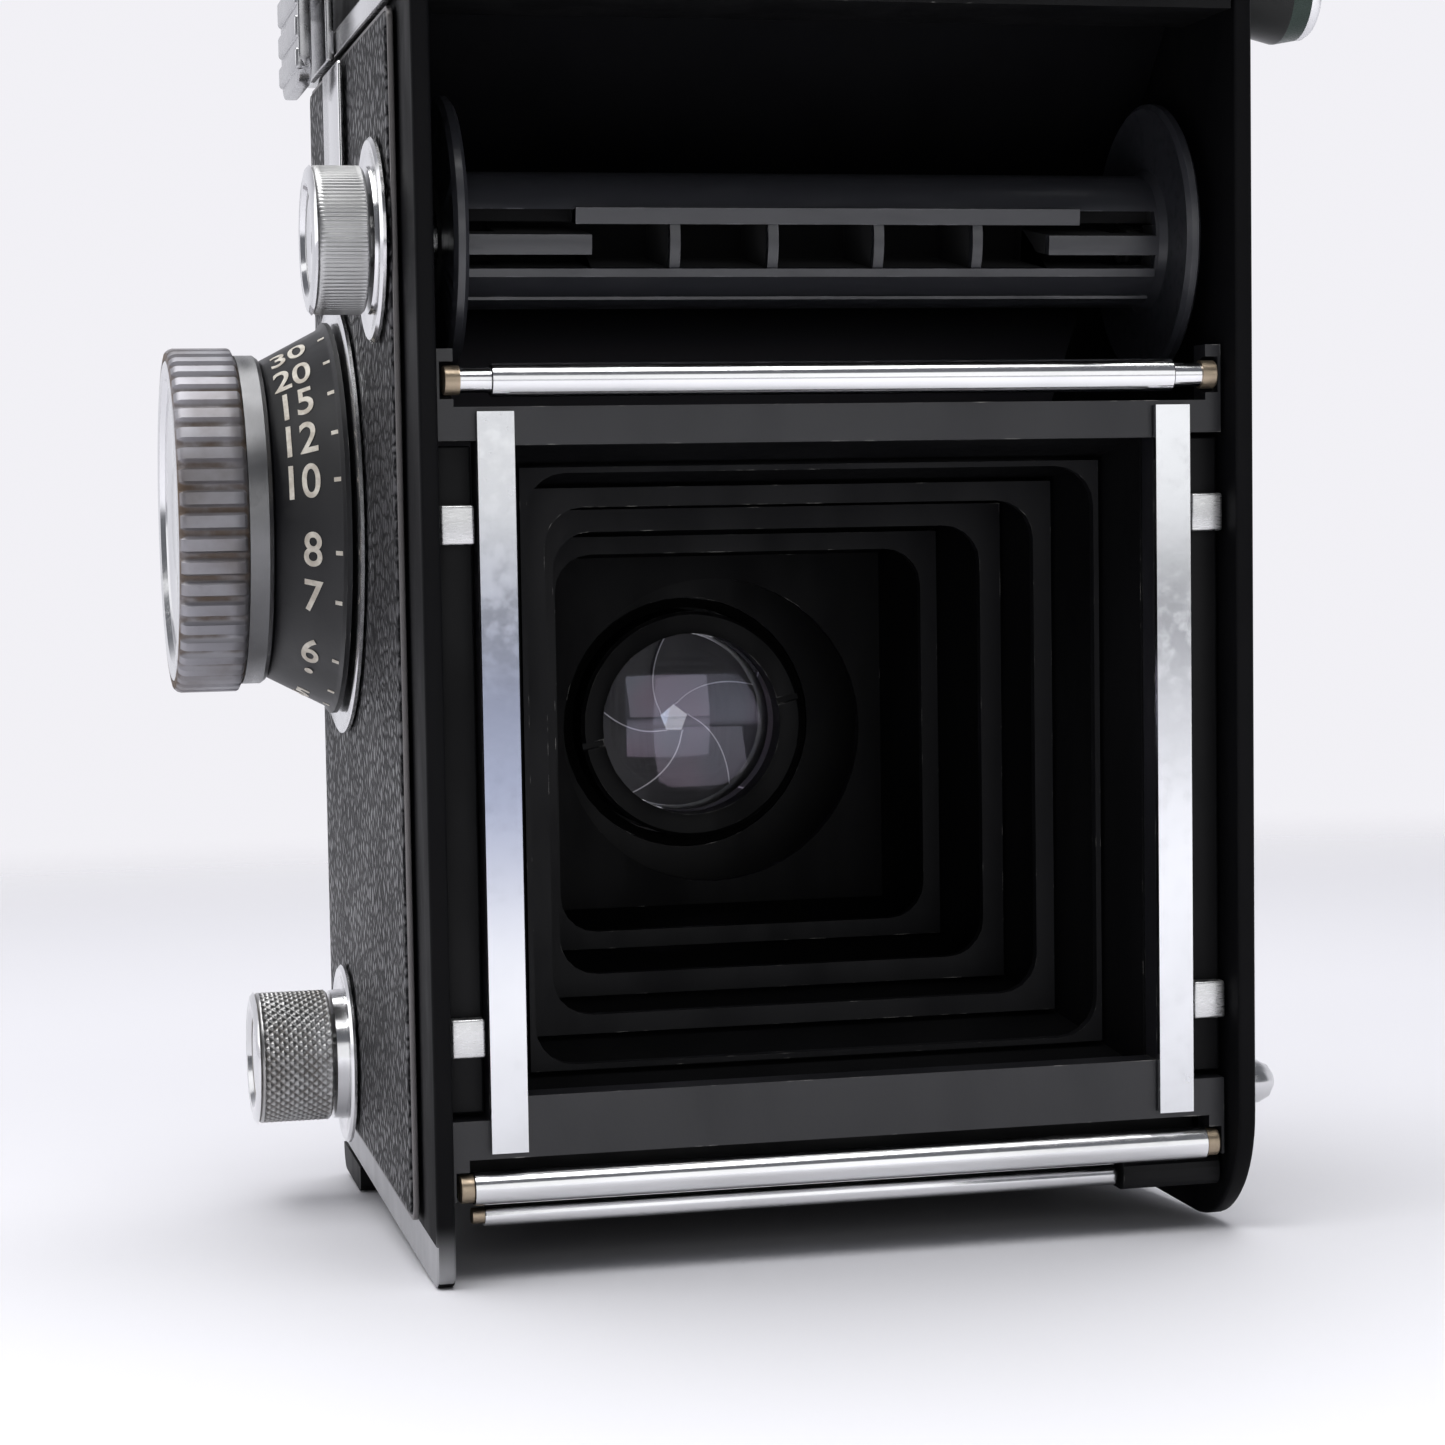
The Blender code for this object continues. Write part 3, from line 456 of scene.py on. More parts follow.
def turned(name, axis, centre, profile, steps, look, body, replaced=(), slot=None, door=False, **shape):
    """A turned piece on a CAD body."""
    return piece(name, lathe(name, axis, centre, profile, steps, **shape), look, body, replaced, door)


def smooth(mesh, angle=35.0):
    mesh.shade_smooth()
    mesh.set_sharp_from_angle(angle=math.radians(angle))
    return mesh


def from_bmesh(bm, name, angle=35.0):
    return smooth(plain_mesh(bm, name), angle)


def lathe(name, axis, centre, profile, steps=96, closed=False, shift=None, angle=35.0):
    """A turned mesh. The profile is (radius, station) pairs along x, depth or z; shift(turn, station, radius)
    may move a point in or out, to cut ribs."""
    bm = bmesh.new()
    rings = []
    for radius, station in profile:
        if radius <= 0:
            rings.append([bm.verts.new(place_on(axis, centre, station, 0.0, 0.0))])
            continue
        ring = []
        for step in range(steps):
            turn = math.tau * step / steps
            reach = radius + (shift(turn, station, radius) if shift else 0.0)
            ring.append(
                bm.verts.new(place_on(axis, centre, station, reach * math.cos(turn), reach * math.sin(turn)))
            )
        rings.append(ring)
    pairs = list(zip(rings, rings[1:])) + ([(rings[-1], rings[0])] if closed else [])
    for first, second in pairs:
        count = max(len(first), len(second))
        for k in range(count if count > 1 else 0):
            corners = [first[k % len(first)], first[(k + 1) % len(first)]]
            corners += [second[(k + 1) % len(second)], second[k % len(second)]]
            bm.faces.new(list(dict.fromkeys(corners)))
    bmesh.ops.recalc_face_normals(bm, faces=bm.faces)
    return from_bmesh(bm, name, angle)


def place_on(axis, centre, station, across, up):
    if axis == "x":
        return at(station, centre[0] - across, centre[1] + up)
    if axis == "depth":
        return at(centre[0] + across, station, centre[1] + up)
    return at(centre[0] + across, centre[1] + up, station)


def rounded(corners, steps=6):
    """The outline through (a, b, radius) corners, with round ones as arcs."""
    points = []
    for i, (a, b, radius) in enumerate(corners):
        here = Vector((a, b))
        if radius <= 0:
            points.append(here)
            continue
        back = (Vector(corners[i - 1][:2]) - here).normalized()
        ahead = (Vector(corners[(i + 1) % len(corners)][:2]) - here).normalized()
        half = back.angle(ahead) / 2
        centre = here + (back + ahead).normalized() * radius / math.sin(half)
        start = here + back * radius / math.tan(half) - centre
        turn = start.angle_signed(here + ahead * radius / math.tan(half) - centre)
        for k in range(steps + 1):
            points.append(centre + Matrix.Rotation(-turn * k / steps, 2) @ start)
    return points


def ring_outline(centre, radius):
    turns = [math.tau * k / 64 for k in range(64)]
    return [Vector((centre[0] + radius * math.cos(t), centre[1] + radius * math.sin(t))) for t in turns]


def round_box(low_a, low_b, high_a, high_b, radius):
    corners = ((low_a, low_b), (high_a, low_b), (high_a, high_b), (low_a, high_b))
    return rounded([(a, b, radius) for a, b in corners])


def frame_outline(half_a, half_b, radius, centre=(0.0, 0.0)):
    a, b = centre
    return round_box(a - half_a, b - half_b, a + half_a, b + half_b, radius)


def plate(name, plane, outlines, start, end, bevel=0.15):
    """A flat mesh with softened edges. The first outline is its edge and the others are holes; the plane is
    side (depth, z) or front (x, z)."""
    curve = bpy.data.curves.new(name, "CURVE")
    curve.dimensions = "2D"
    curve.fill_mode = "BOTH"
    curve.extrude = (abs(end - start) / 2 - bevel) * MM
    curve.bevel_depth = bevel * MM
    curve.offset = -bevel * MM
    curve.bevel_resolution = 2
    for outline in outlines:
        spline = curve.splines.new("POLY")
        spline.points.add(len(outline) - 1)
        for point, (a, b) in zip(spline.points, outline):
            point.co = (a * MM, b * MM, 0.0, 1.0)
        spline.use_cyclic_u = True
    holder = in_scene(name, curve)
    mesh = evaluated(holder)
    bpy.data.curves.remove(curve)
    middle = (start + end) / 2
    across = {
        "side": (Vector((0, -1, 0)), Vector((0, 0, 1)), Vector((-1, 0, 0)), at(middle, 0, 0)),
        "front": (Vector((1, 0, 0)), Vector((0, 0, 1)), Vector((0, -1, 0)), at(0, middle, 0)),
    }[plane]
    mesh.transform(Matrix.Translation(across[3]) @ Matrix(across[:3]).transposed().to_4x4())
    bm = bmesh.new()
    bm.from_mesh(mesh)
    bmesh.ops.remove_doubles(bm, verts=bm.verts, dist=0.000002)
    bmesh.ops.recalc_face_normals(bm, faces=bm.faces)
    bm.to_mesh(mesh)
    bm.free()
    return smooth(mesh, 40.0)


def block(name, low, high, bevel=0.2):
    """A box with softened edges between two (x, depth, z) corners."""
    bm = bmesh.new()
    bmesh.ops.create_cube(bm, size=1.0)
    a, b = at(*low), at(*high)
    bmesh.ops.scale(bm, vec=Vector([abs(q - p) for p, q in zip(a, b)]), verts=bm.verts)
    bmesh.ops.translate(bm, vec=(a + b) / 2, verts=bm.verts)
    bmesh.ops.bevel(bm, geom=bm.edges[:], offset=bevel * MM, segments=3, affect="EDGES", profile=0.5)
    return from_bmesh(bm, name)


def merged(name, meshes):
    """Several meshes as one, keeping where they are."""
    bm = bmesh.new()
    for mesh in meshes:
        bm.from_mesh(mesh)
    for mesh in meshes:
        bpy.data.meshes.remove(mesh)
    return from_bmesh(bm, name)


def carved(name, mesh, tools):
    """The mesh with the tool meshes cut away."""
    main = in_scene(name, mesh)
    helpers = []
    for tool in tools:
        helper = in_scene("tool", tool)
        modifier = main.modifiers.new("cut", "BOOLEAN")
        modifier.operation = "DIFFERENCE"
        modifier.solver = "EXACT"
        modifier.object = helper
        helpers.append(helper)
    result = evaluated(main)
    for helper in helpers:
        bpy.data.objects.remove(helper, do_unlink=True)
    return smooth(result)


def soften(name, look, width=0.2):
    """Gives a CAD node its material and softens its edges."""
    made = NODES[name]
    for index in range(len(made.data.materials)):
        made.data.materials[index] = look
    if not made.data.materials:
        made.data.materials.append(look)
    if width:
        modifier = made.modifiers.new("soft_edges", "BEVEL")
        modifier.width = width * MM
        modifier.segments = 3
        modifier.limit_method = "ANGLE"
        modifier.angle_limit = math.radians(30.0)
        modifier.harden_normals = True
        modifier.use_clamp_overlap = True
    return made


# Knobs

def straight_ribs(count, depth, start, end):
    """Rounded ribs along a turned piece, between two stations."""
    def shift(turn, station, radius):
        if not start <= abs(station) <= end:
            return 0.0
        wave = math.cos(count * turn)
        return -depth * min(1.0, max(0.0, -0.2 - wave) * 2.0)
    return shift


def diamond_ribs(count, pitch, depth, start, end):
    def shift(turn, station, radius):
        if not start <= abs(station) <= end:
            return 0.0
        along = math.tau * (abs(station) - start) / pitch
        one = abs(math.sin((count * turn + along) / 2))
        two = abs(math.sin((count * turn - along) / 2))
        return -depth * (1.0 - min(one, two) ** 0.7)
    return shift


def stations(start, end, count):
    return [start + (end - start) * k / count for k in range(count + 1)]


def focusing():
    steel = satin_look("turned_steel", (0.23, 0.23, 0.235), 0.34, (14.0, 1.0, 1.0))
    ribs = knurl_look("focus_knurl", FOCUS_AXIS, 16.05, 15.75, (0.35, 0.345, 0.37), (0.11, 0.075, 0.05), 0.52)
    shift = straight_ribs(48, 0.5, 47.75, 53.7)
    crests = [(16.2, 47.75), (16.3, 47.9)] + [(16.3, s) for s in (49.0, 50.5, 52.0, 53.0)]
    profile = [(15.45, 47.4), *crests, (16.2, 53.35), (15.95, 53.65), (15.4, 53.75), (15.2, 53.75)]
    mesh = lathe(
        "focus_knob_ribs", "x", FOCUS_AXIS, profile + [(15.2, 47.4)], 48 * 12, closed=True, shift=shift,
        angle=50
    )
    piece("focus_knob_ribs", mesh, ribs, "focus_controls")
    face = [
        (0, 52.95), (5.0, 52.95), (5.3, 53.1), (12.8, 53.1), (13.2, 53.2), (13.5, 53.7), (13.9, 53.8),
        (14.9, 53.8), (15.15, 53.7), (15.2, 53.3), (14.8, 52.9), (0, 52.4),
    ]
    turned(
        "focus_knob_face", "x", FOCUS_AXIS, face, 128, chrome_look("knob_face", roughness=0.14),
        "focus_controls", slot="satin_metal"
    )
    collar = [(14.9, 47.6), (15.6, 47.35), (15.6, 45.6), (15.3, 45.2), (14.9, 45.2)]
    turned(
        "focus_collar", "x", FOCUS_AXIS, collar, 128, steel, "focus_controls", ["focus_knob"],
        "satin_metal", closed=True
    )
    dial = [
        (3.3, 45.1), (14.7, 45.1), CONE_SMALL, CONE_LARGE, (18.35, 39.1), (18.65, 38.9), (18.65, 38.45),
        (3.3, 38.45)
    ]
    enamel = enamel_look("dial_enamel", (0.005, 0.005, 0.006), 0.4, 0.4, 0.12, 0.4)
    turned(
        "focus_cone", "x", FOCUS_AXIS, dial, 160, enamel, "focus_controls", ["focus_dial"], "black_paint",
        closed=True
    )
    piece("focus_numbers", dial_marks(), number_look(), "focus_controls")
    ring = [(3.6, 38.05), (18.8, 38.05), (19.3, 37.95), (20.1, 38.1), (20.6, 37.9), (20.6, 37.6), (3.6, 37.6)]
    turned(
        "focus_ring_plate", "x", FOCUS_AXIS, ring, 160, chrome_look("ring_chrome", roughness=0.16),
        "camera_body", ["focus_ring"], "chrome", closed=True
    )


DIAL_NUMBERS = (
    ("30", 70.0), ("20", 54.0), ("15", 40.4), ("12", 26.3), ("10", 11.8), ("8", -9.8), ("7", -25.2),
    ("6", -47.3), ("", -64.6), ("5", -80.0), ("4", -98.0), ("3", -135.0),
)


def dial_marks():
    """Numbers and ticks of cream paint on the cone, read from behind."""
    meshes = []
    for word, angle in DIAL_NUMBERS:
        text = bpy.data.curves.new("number", "FONT")
        text.body = word
        text.size = NUMBER_HEIGHT * MM
        text.align_x = "RIGHT"
        text.align_y = "CENTER"
        text.extrude = 0.03 * MM
        text.offset = 0.05 * MM
        holder = in_scene("number", text)
        mesh = evaluated(holder)
        bpy.data.curves.remove(text)
        bm = bmesh.new()
        bm.from_mesh(mesh)
        bmesh.ops.triangulate(bm, faces=bm.faces)
        bmesh.ops.subdivide_edges(bm, edges=[e for e in bm.edges if e.calc_length() > 0.4 * MM], cuts=2)
        for vert in bm.verts:
            vert.co = on_cone(vert.co.x / MM * NUMBER_SQUEEZE, vert.co.y / MM, vert.co.z / MM, angle)
        bm.to_mesh(mesh)
        bm.free()
        meshes.append(mesh)
        tick = bmesh.new()
        bmesh.ops.create_cube(tick, size=1.0)
        for vert in tick.verts:
            vert.co = on_cone(2.0 + 1.5 * vert.co.x, 0.4 * vert.co.y, 0.05 * vert.co.z, angle)
        meshes.append(plain_mesh(tick, "tick"))
    dot = bmesh.new()
    bmesh.ops.create_circle(dot, cap_ends=True, segments=16, radius=0.42)
    for vert in dot.verts:
        vert.co = on_cone(vert.co.x - 0.9, vert.co.y, 0.05, RANGE_DOT_TURN)
    meshes.append(plain_mesh(dot, "dot"))
    return merged("focus_numbers", meshes)


def on_cone(along, up, out, angle):
    """A place on the dial's cone: along its slope towards the body, up round it and out from it."""
    slope = math.atan2(CONE_LARGE[0] - CONE_SMALL[0], CONE_SMALL[1] - CONE_LARGE[1])
    station = 40.6 - (along - 0.4) * math.cos(slope)
    radius = CONE_SMALL[0] + (CONE_SMALL[1] - station) * math.tan(slope) + out / math.cos(slope) + 0.02
    turn = math.radians(angle) + up / (radius + 0.2)
    return place_on("x", FOCUS_AXIS, station, radius * math.cos(turn), radius * math.sin(turn))


def spool_knobs():
    steel = satin_look("knob_steel", (0.6, 0.6, 0.6), 0.26, (14.0, 1.0, 1.0))
    for name, axis, near, far, radius, ring, shift, body, lines in (
        (
            "upper", SPOOL_AXIS, 38.6, 43.0, 6.35, 8.8, straight_ribs(104, 0.07, 38.9, 42.6),
            "upper_spool_knob", 104 * 8
        ),
        (
            "lower", SUPPLY_AXIS, 39.5, 46.5, 6.35, 8.7, diamond_ribs(44, 0.9, 0.26, 39.8, 46.0),
            "lower_spool_knob", 44 * 8
        ),
    ):
        grip = [(4.0, near)] + [(radius - 0.25, near), (radius, near + 0.25)]
        grip += [(radius, s) for s in stations(near + 0.32, far - 0.32, 10 if name == "upper" else 62)]
        grip += [(radius - 0.2, far), (4.0, far)]
        if name == "upper":
            look = satin_look("upper_knob_steel", (0.5, 0.5, 0.5), 0.34, (14.0, 1.0, 1.0))
        else:
            look = knurl_look(
                "lower_knurl", axis, radius - 0.02, radius - 0.24, (0.5, 0.5, 0.5), (0.16, 0.14, 0.12), 0.3
            )
        turned(
            f"{name}_knob_grip", "x", axis, grip, lines, look, body, slot="satin_metal", closed=True,
            shift=shift, angle=60
        )
        end = far + 0.45
        cap = [
            (0, end - 0.75), (radius - 2.0, end - 0.75), (radius - 1.5, end - 0.05), (radius - 0.9, end),
            (radius - 0.25, end - 0.15), (radius + 0.05, end - 0.4), (radius - 0.1, far - 0.05),
            (0, far - 0.05)
        ]
        turned(
            f"{name}_knob_cap", "x", axis, cap, 96, chrome_look(f"{name}_cap_chrome"), body,
            slot="satin_metal"
        )
        pin = [
            (0, near + 0.2), (2.2, near + 0.2), (2.2, 34.4), (1.9, 34.3), (1.9, 30.0), (1.5, 29.6),
            (0, 29.6)
        ]
        turned(f"{name}_knob_pin", "x", axis, pin, 48, steel, body, [f"{name}_spool_knob"], "satin_metal")
        hub = radius - 0.1
        washer = [
            (3.0, near - 0.35), (hub, near - 0.35), (hub + 0.1, FACE + 0.4),
            (ring - 1.3, FACE + 0.4), (ring - 1.1, FACE + 0.5), (ring - 0.3, FACE + 0.5),
            (ring, FACE + 0.25), (ring, FACE), (3.0, FACE),
        ]
        turned(
            f"{name}_ring_plate", "x", axis, washer, 96, chrome_look(f"{name}_ring_chrome", roughness=0.15),
            "camera_body", [f"{name}_knob_ring"], "chrome", closed=True
        )


# Film transport

def rollers():
    bright = chrome_look("roller_chrome", (0.86, 0.86, 0.87), 0.13, 0.08)
    brass = satin_look("roller_brass", (0.44, 0.355, 0.26), 0.35, (8.0, 1.0, 1.0))
    for name, axis, (radius, main, thin, thin_end, tip, end) in (
        ("upper_roller", UPPER_ROLLER, (1.42, 29.9, 1.05, 32.5, 1.22, 33.9)),
        ("lower_roller", LOWER_ROLLER, (1.45, 32.7, 1.2, 32.7, 1.2, 33.9)),
    ):
        body = [(0, main), (radius - 0.1, main), (radius, main - 0.1)]
        body += [(r, -s) for r, s in reversed(body)]
        meshes = [lathe("roller", "x", axis, body, 64)]
        if thin_end > main:
            neck = [(0, thin_end), (thin, thin_end), (thin, main), (0, main)]
            meshes += [lathe("roller", "x", axis, [(r, k * s) for r, s in neck], 48) for k in (1, -1)]
        piece(f"{name}_tube", merged(name, meshes), bright, name)
        cap = [(0, end), (tip - 0.15, end), (tip, end - 0.15), (tip, thin_end), (0, thin_end)]
        ends = [lathe("cap", "x", axis, [(r, k * s) for r, s in cap], 48) for k in (1, -1)]
        piece(f"{name}_bushes", merged(name, ends), brass, name, [name])
    feeler = [(0, 31.5), (0.9, 31.5), (0.95, 31.4), (0.95, -24.9), (0.9, -25.0), (0, -25.0)]
    turned("feeler_roller_tube", "x", FEELER_ROLLER, feeler, 48, bright, "feeler_roller", slot="chrome")
    tip = [(0, 32.6), (0.6, 32.6), (0.7, 32.5), (0.7, 31.5), (0, 31.5)]
    turned(
        "feeler_roller_bush", "x", FEELER_ROLLER, tip, 48, brass, "feeler_roller", ["feeler_roller"],
        "chrome"
    )


def take_up_spool():
    plastic = plastic_look()
    half, flange, core = 32.9, 12.3, 5.9
    discs = []
    for side in (-1, 1):
        outline = [
            (2.7, half), (flange - 0.5, half), (flange, half - 0.35), (flange, half - 0.95),
            (flange - 0.45, half - 1.3), (flange - 1.1, half - 1.05), (core + 0.6, half - 1.0),
            (core, half - 1.6), (2.7, half - 1.6)
        ]
        discs.append(
            lathe(
                "flange", "x", SPOOL_AXIS, [(r, side * s + SPOOL_SHIFT) for r, s in outline], 128,
                closed=True
            )
        )
    piece("spool_flanges", merged("spool_flanges", discs), plastic, "take_up")
    tube = lathe(
        "core", "x", SPOOL_AXIS,
        [
            (r, s + SPOOL_SHIFT)
            for r, s in [(0, half - 5), (2.7, half - 5), (2.7, half - 1.1), (core, half - 1.1)] + [
                (core, -half + 1.1), (2.7, -half + 1.1), (2.7, -half + 5), (0, -half + 5)
            ]
        ],
        96
    )
    slot = 1.9
    ribs = (-14.9, -5.9, 3.6, 12.3)
    openings = [(-21.5, ribs[0] - 0.45)] + [
        (a + 0.45, b - 0.45) for a, b in zip(ribs, ribs[1:])
    ] + [(ribs[-1] + 0.45, 19.6)]
    cuts = [tilted_box(a, b, -slot, slot, -4.4) for a, b in openings]
    for low, high, notch in ((19.5, 31.5, 21.0), (-31.5, -21.4, -24.3)):
        cuts.append(tilted_box(low, high, 1.0, slot, -2.0))
        cuts.append(tilted_box(low, high, -slot, -0.7, -2.0))
        near, far = (notch, high) if notch > 0 else (low, notch)
        cuts.append(tilted_box(near, far, slot - 0.05, 3.1, 3.0))
    mesh = carved("spool_core", tube, cuts)
    lips = [
        tilted_box(-24.3, 21.0, slot, 3.3, 4.0, 5.72),
        tilted_box(-31.5, 31.5, -2.6, -slot, 4.0, 5.85),
        tilted_box(-31.5, 31.5, -4.7, -4.45, 2.6, 4.3),
    ]
    made = piece(
        "spool_core", merged("spool_core", [mesh, *lips]), plastic, "take_up", ["takeup_spool"],
    )
    soft = made.modifiers.new("soft_edges", "BEVEL")
    soft.width = 0.12 * MM
    soft.segments = 2
    soft.limit_method = "ANGLE"
    key = [
        (0, -30.2), (1.9, -30.2), (2.2, -30.5), (2.2, -33.4), (4.4, -33.4), (4.5, -33.5), (4.5, -34.4),
        (0, -34.4)
    ]
    turned(
        "drive_key", "x", SPOOL_AXIS, key, 48, satin_look("key_steel"), "take_up", ["spool_drive_key"],
        "satin_metal"
    )


def turned_box(size, middle, angle, axis, place):
    """A plain box, turned by degrees about an axis and then moved to its place."""
    bm = bmesh.new()
    bmesh.ops.create_cube(bm, size=1.0)
    bmesh.ops.scale(bm, vec=Vector(size) * MM, verts=bm.verts)
    bmesh.ops.translate(bm, vec=Vector(middle) * MM, verts=bm.verts)
    bmesh.ops.rotate(bm, matrix=Matrix.Rotation(math.radians(angle), 3, axis), verts=bm.verts)
    bmesh.ops.translate(bm, vec=at(*place), verts=bm.verts)
    return plain_mesh(bm, "slot")


def tilted_box(x0, x1, low, high, near, far=8.0):
    """A box in the spool's slot, from near to far behind the spool's axis and tilted down."""
    size = (x1 - x0, far - near, high - low)
    middle = ((x0 + x1) / 2, (near + far) / 2, (low + high) / 2)
    return turned_box(size, middle, SPOOL_TILT, "X", (0.0, *SPOOL_AXIS))


# Body

def body_shell():
    inside = enamel_look("inside_black", (0.003, 0.003, 0.0035), 0.55, 0.3, gloss=0.2)
    cheeks()
    chamber(inside)
    rails()
    guides(inside)
    soften("front_sill", enamel_look("sill_black", (0.003, 0.003, 0.0035), 0.6, 0.3, 0.2, 0.15), 0.3)
    soften("reflex_mirror", chrome_look("silvering", (0.9, 0.9, 0.92), 0.02, 0.02), 0.0)
    soften("focusing_screen", screen_look(), 0.15)
    coverings()


def cheeks():
    enamel = cheek_look()
    for side, name, corner in ((1, "left_cheek", 2.0), (-1, "right_cheek", 11.0)):
        outline = rounded([
            (-2.5, 2.8, corner), (66.0, 2.8, 2.0), (66.0, 118.0, 2.0), (0.5, 118.0, 0.4), (-2.5, 112.0, 0.6),
        ], 16)
        holes = [
            ring_outline(place, 3.0) for place in (SPOOL_AXIS, SUPPLY_AXIS, FOCUS_AXIS)
        ] if side > 0 else []
        mesh = plate(name, "side", [outline] + holes, side * RIM_INNER, side * RIM_HALF, 0.3)
        piece(f"{name}_sheet", mesh, enamel, "camera_body", [name])


def chamber(inside):
    for name, width in (("chamber_roof", 0.2), ("front_wall", 0.2), ("feeler_bracket", 0.7)):
        soften(name, inside, width)
    wall = enamel_look("wall_black", (0.002, 0.002, 0.0026), 0.6, 0.3, 0.2, 0.08)
    tree = wall.node_tree
    base = tree.nodes["Principled BSDF"].inputs["Base Color"]
    height = coordinates(tree)[2]
    # Painted light: below 80 mm the mirror wall is coloured a pale bluish grey, fading to black by 87 mm.
    painted_light_low = ramp(tree, height, 80.0 * MM, 87.0 * MM, 1.0, 0.0)
    link(tree, base, blend_colours(tree, painted_light_low, base.links[0].from_socket, (0.16, 0.155, 0.175, 1)))
    soften("mirror_wall", wall, 0.2)
    # Painted shade: a dark plate behind the lower roller, standing in for the shade there, hides the floor
    # seen through the gap under the gate.
    shade_plate = block("painted_shade_plate", (-32.6, 3.4, 9.4), (32.6, 3.9, 13.4), 0.1)
    piece("painted_shade_plate", shade_plate, inside, "camera_body")
    gate = enamel_look("gate_black", (0.012, 0.012, 0.0145), 0.4, 0.5, 0.2, 0.55)
    soften("gate_frame", gate, 0.35)
    matt = enamel_look("chamber_black", (0.0028, 0.0028, 0.0033), 0.62, 0.15, 0.15, 0.12)
    baffle = enamel_look("baffle_black", (0.005, 0.005, 0.006), 0.55, 0.3, 0.18, 0.2)
    for number in range(1, 5):
        soften(f"baffle_frame_{number}", baffle, 0.2)
    soften("light_chamber", matt, 0.2)


def rails():
    """Plated rails, with a painted bluish reflection in the middle of the supply side's rail."""
    rail = chrome_look("rail_chrome", (0.8, 0.81, 0.83), 0.12, 0.16)
    tree = rail.node_tree
    place = coordinates(tree)
    middle = math_node(
        tree, "MULTIPLY", ramp(tree, place[2], 0.024, 0.046), ramp(tree, place[2], 0.072, 0.05)
    )
    base = tree.nodes["Principled BSDF"].inputs["Base Color"]
    # Painted reflection: the supply side's rail is tinted a darker blue between about 24 and 72 mm up.
    painted_reflection = math_node(tree, "MULTIPLY", middle, math_node(tree, "GREATER_THAN", place[0], 0.0))
    link(tree, base, blend_colours(tree, painted_reflection, base.links[0].from_socket, (0.34, 0.37, 0.47, 1)))
    for name in ("film_rail_left", "film_rail_right"):
        soften(name, rail, 0.12)


def guides(inside):
    pads = satin_look("pad_metal", (0.72, 0.72, 0.72), 0.3)
    for side, name in ((1, "guide_left"), (-1, "guide_right")):
        inner, outer = 31.5, 34.4
        strip = block("guide_strip", (side * inner, 1.4, 17.0), (side * outer, 3.0, 73.0), 0.2)
        piece(f"{name}_strip", strip, inside, "camera_body")
        studs = [
            block("pad", (side * inner, -0.1, low), (side * outer, 1.3, low + 3.3), 0.25)
            for low in (GATE_Z + 19.8, GATE_Z - 23.1)
        ]
        piece(f"{name}_pads", merged("pads", studs), pads, "camera_body", [name])


def coverings():
    leather = leather_look()
    trim = chrome_look("trim_chrome", (0.7, 0.7, 0.71), 0.18, 0.2)
    line = satin_look("edge_metal", (0.2, 0.19, 0.19), 0.42)
    for side, name in ((1, "left"), (-1, "right")):
        outline = rounded([(6.0, 7.4, 1.2), (65.7, 7.4, 1.2), (65.7, 109.4, 1.0), (6.0, 109.4, 1.0)])
        holes = []
        if side > 0:
            holes = [
                ring_outline(SPOOL_AXIS, 3.0), ring_outline(SUPPLY_AXIS, 3.0), ring_outline(FOCUS_AXIS, 3.6)
            ]
        mesh = plate(f"{name}_covering", "side", [outline] + holes, side * LEATHER_BED, side * SIDE, 0.25)
        piece(f"{name}_covering", mesh, leather, "camera_body", [f"{name}_leather"])
        edge = plate(
            f"{name}_edging", "side",
            [rounded([(5.5, 7.0, 1.5), (66.0, 7.0, 1.5), (66.0, 109.8, 1.3), (5.5, 109.8, 1.3)]), outline],
            side * LEATHER_BED, side * 37.1, 0.1
        )
        piece(f"{name}_edging", edge, line, "camera_body")
        band = plate(
            f"{name}_top_band", "side", [round_box(5.4, 110.2, 66.0, 112.4, 0.3)], side * LEATHER_BED,
            side * 37.5, 0.15
        )
        piece(f"{name}_top_band", band, trim, "camera_body")
        strap_lug(name, side)
    index = plate("index_strip", "side", [round_box(33.9, 87.9, 46.5, 108.9, 0.5)], FACE, FACE + 0.5, 0.2)
    piece("index_strip", index, trim, "camera_body", ["index_plate"])
    stud = [(0, -FACE), (2.1, -FACE), (2.1, -40.0), (1.95, -41.0), (1.5, -41.9), (0.8, -42.4), (0, -42.6)]
    turned("stud_dome", "x", STUD_AXIS, stud, 64, trim, "camera_body", ["side_stud"], "chrome")


def strap_lug(name, side):
    """A ribbed grip that stands off a thin plate."""
    base = block("base", (side * FACE, 40.2, 109.6), (side * (FACE + 0.8), 56.8, 117.4), 0.2)
    bridge = block("bridge", (side * 38.2, 41.2, 115.6), (side * 40.2, 56.8, 117.4), 0.2)
    outline = rounded([(41.0, 107.6, 2.6), (57.0, 107.6, 2.6), (57.0, 117.5, 0.4), (41.0, 117.5, 0.4)])
    core = plate("grip", "side", [outline], side * 39.6, side * 40.9, 0.25)
    ribs = []
    for low, high in ((108.9, 111.0), (111.75, 114.0), (114.75, 117.3)):
        ribs.append(block("rib", (side * 40.2, 41.05, low), (side * 41.2, 56.9, high), 0.35))
    mesh = merged(f"{name}_lug", [base, bridge, core] + ribs)
    # Painted shade: the lug's chrome is darker than the other chrome, standing in for the dark surroundings
    # it reflects.
    piece(
        f"{name}_lug", mesh, chrome_look(f"{name}_lug_shaded_chrome", (0.5, 0.5, 0.51), 0.24), "camera_body",
        [f"strap_lug_{name}"]
    )


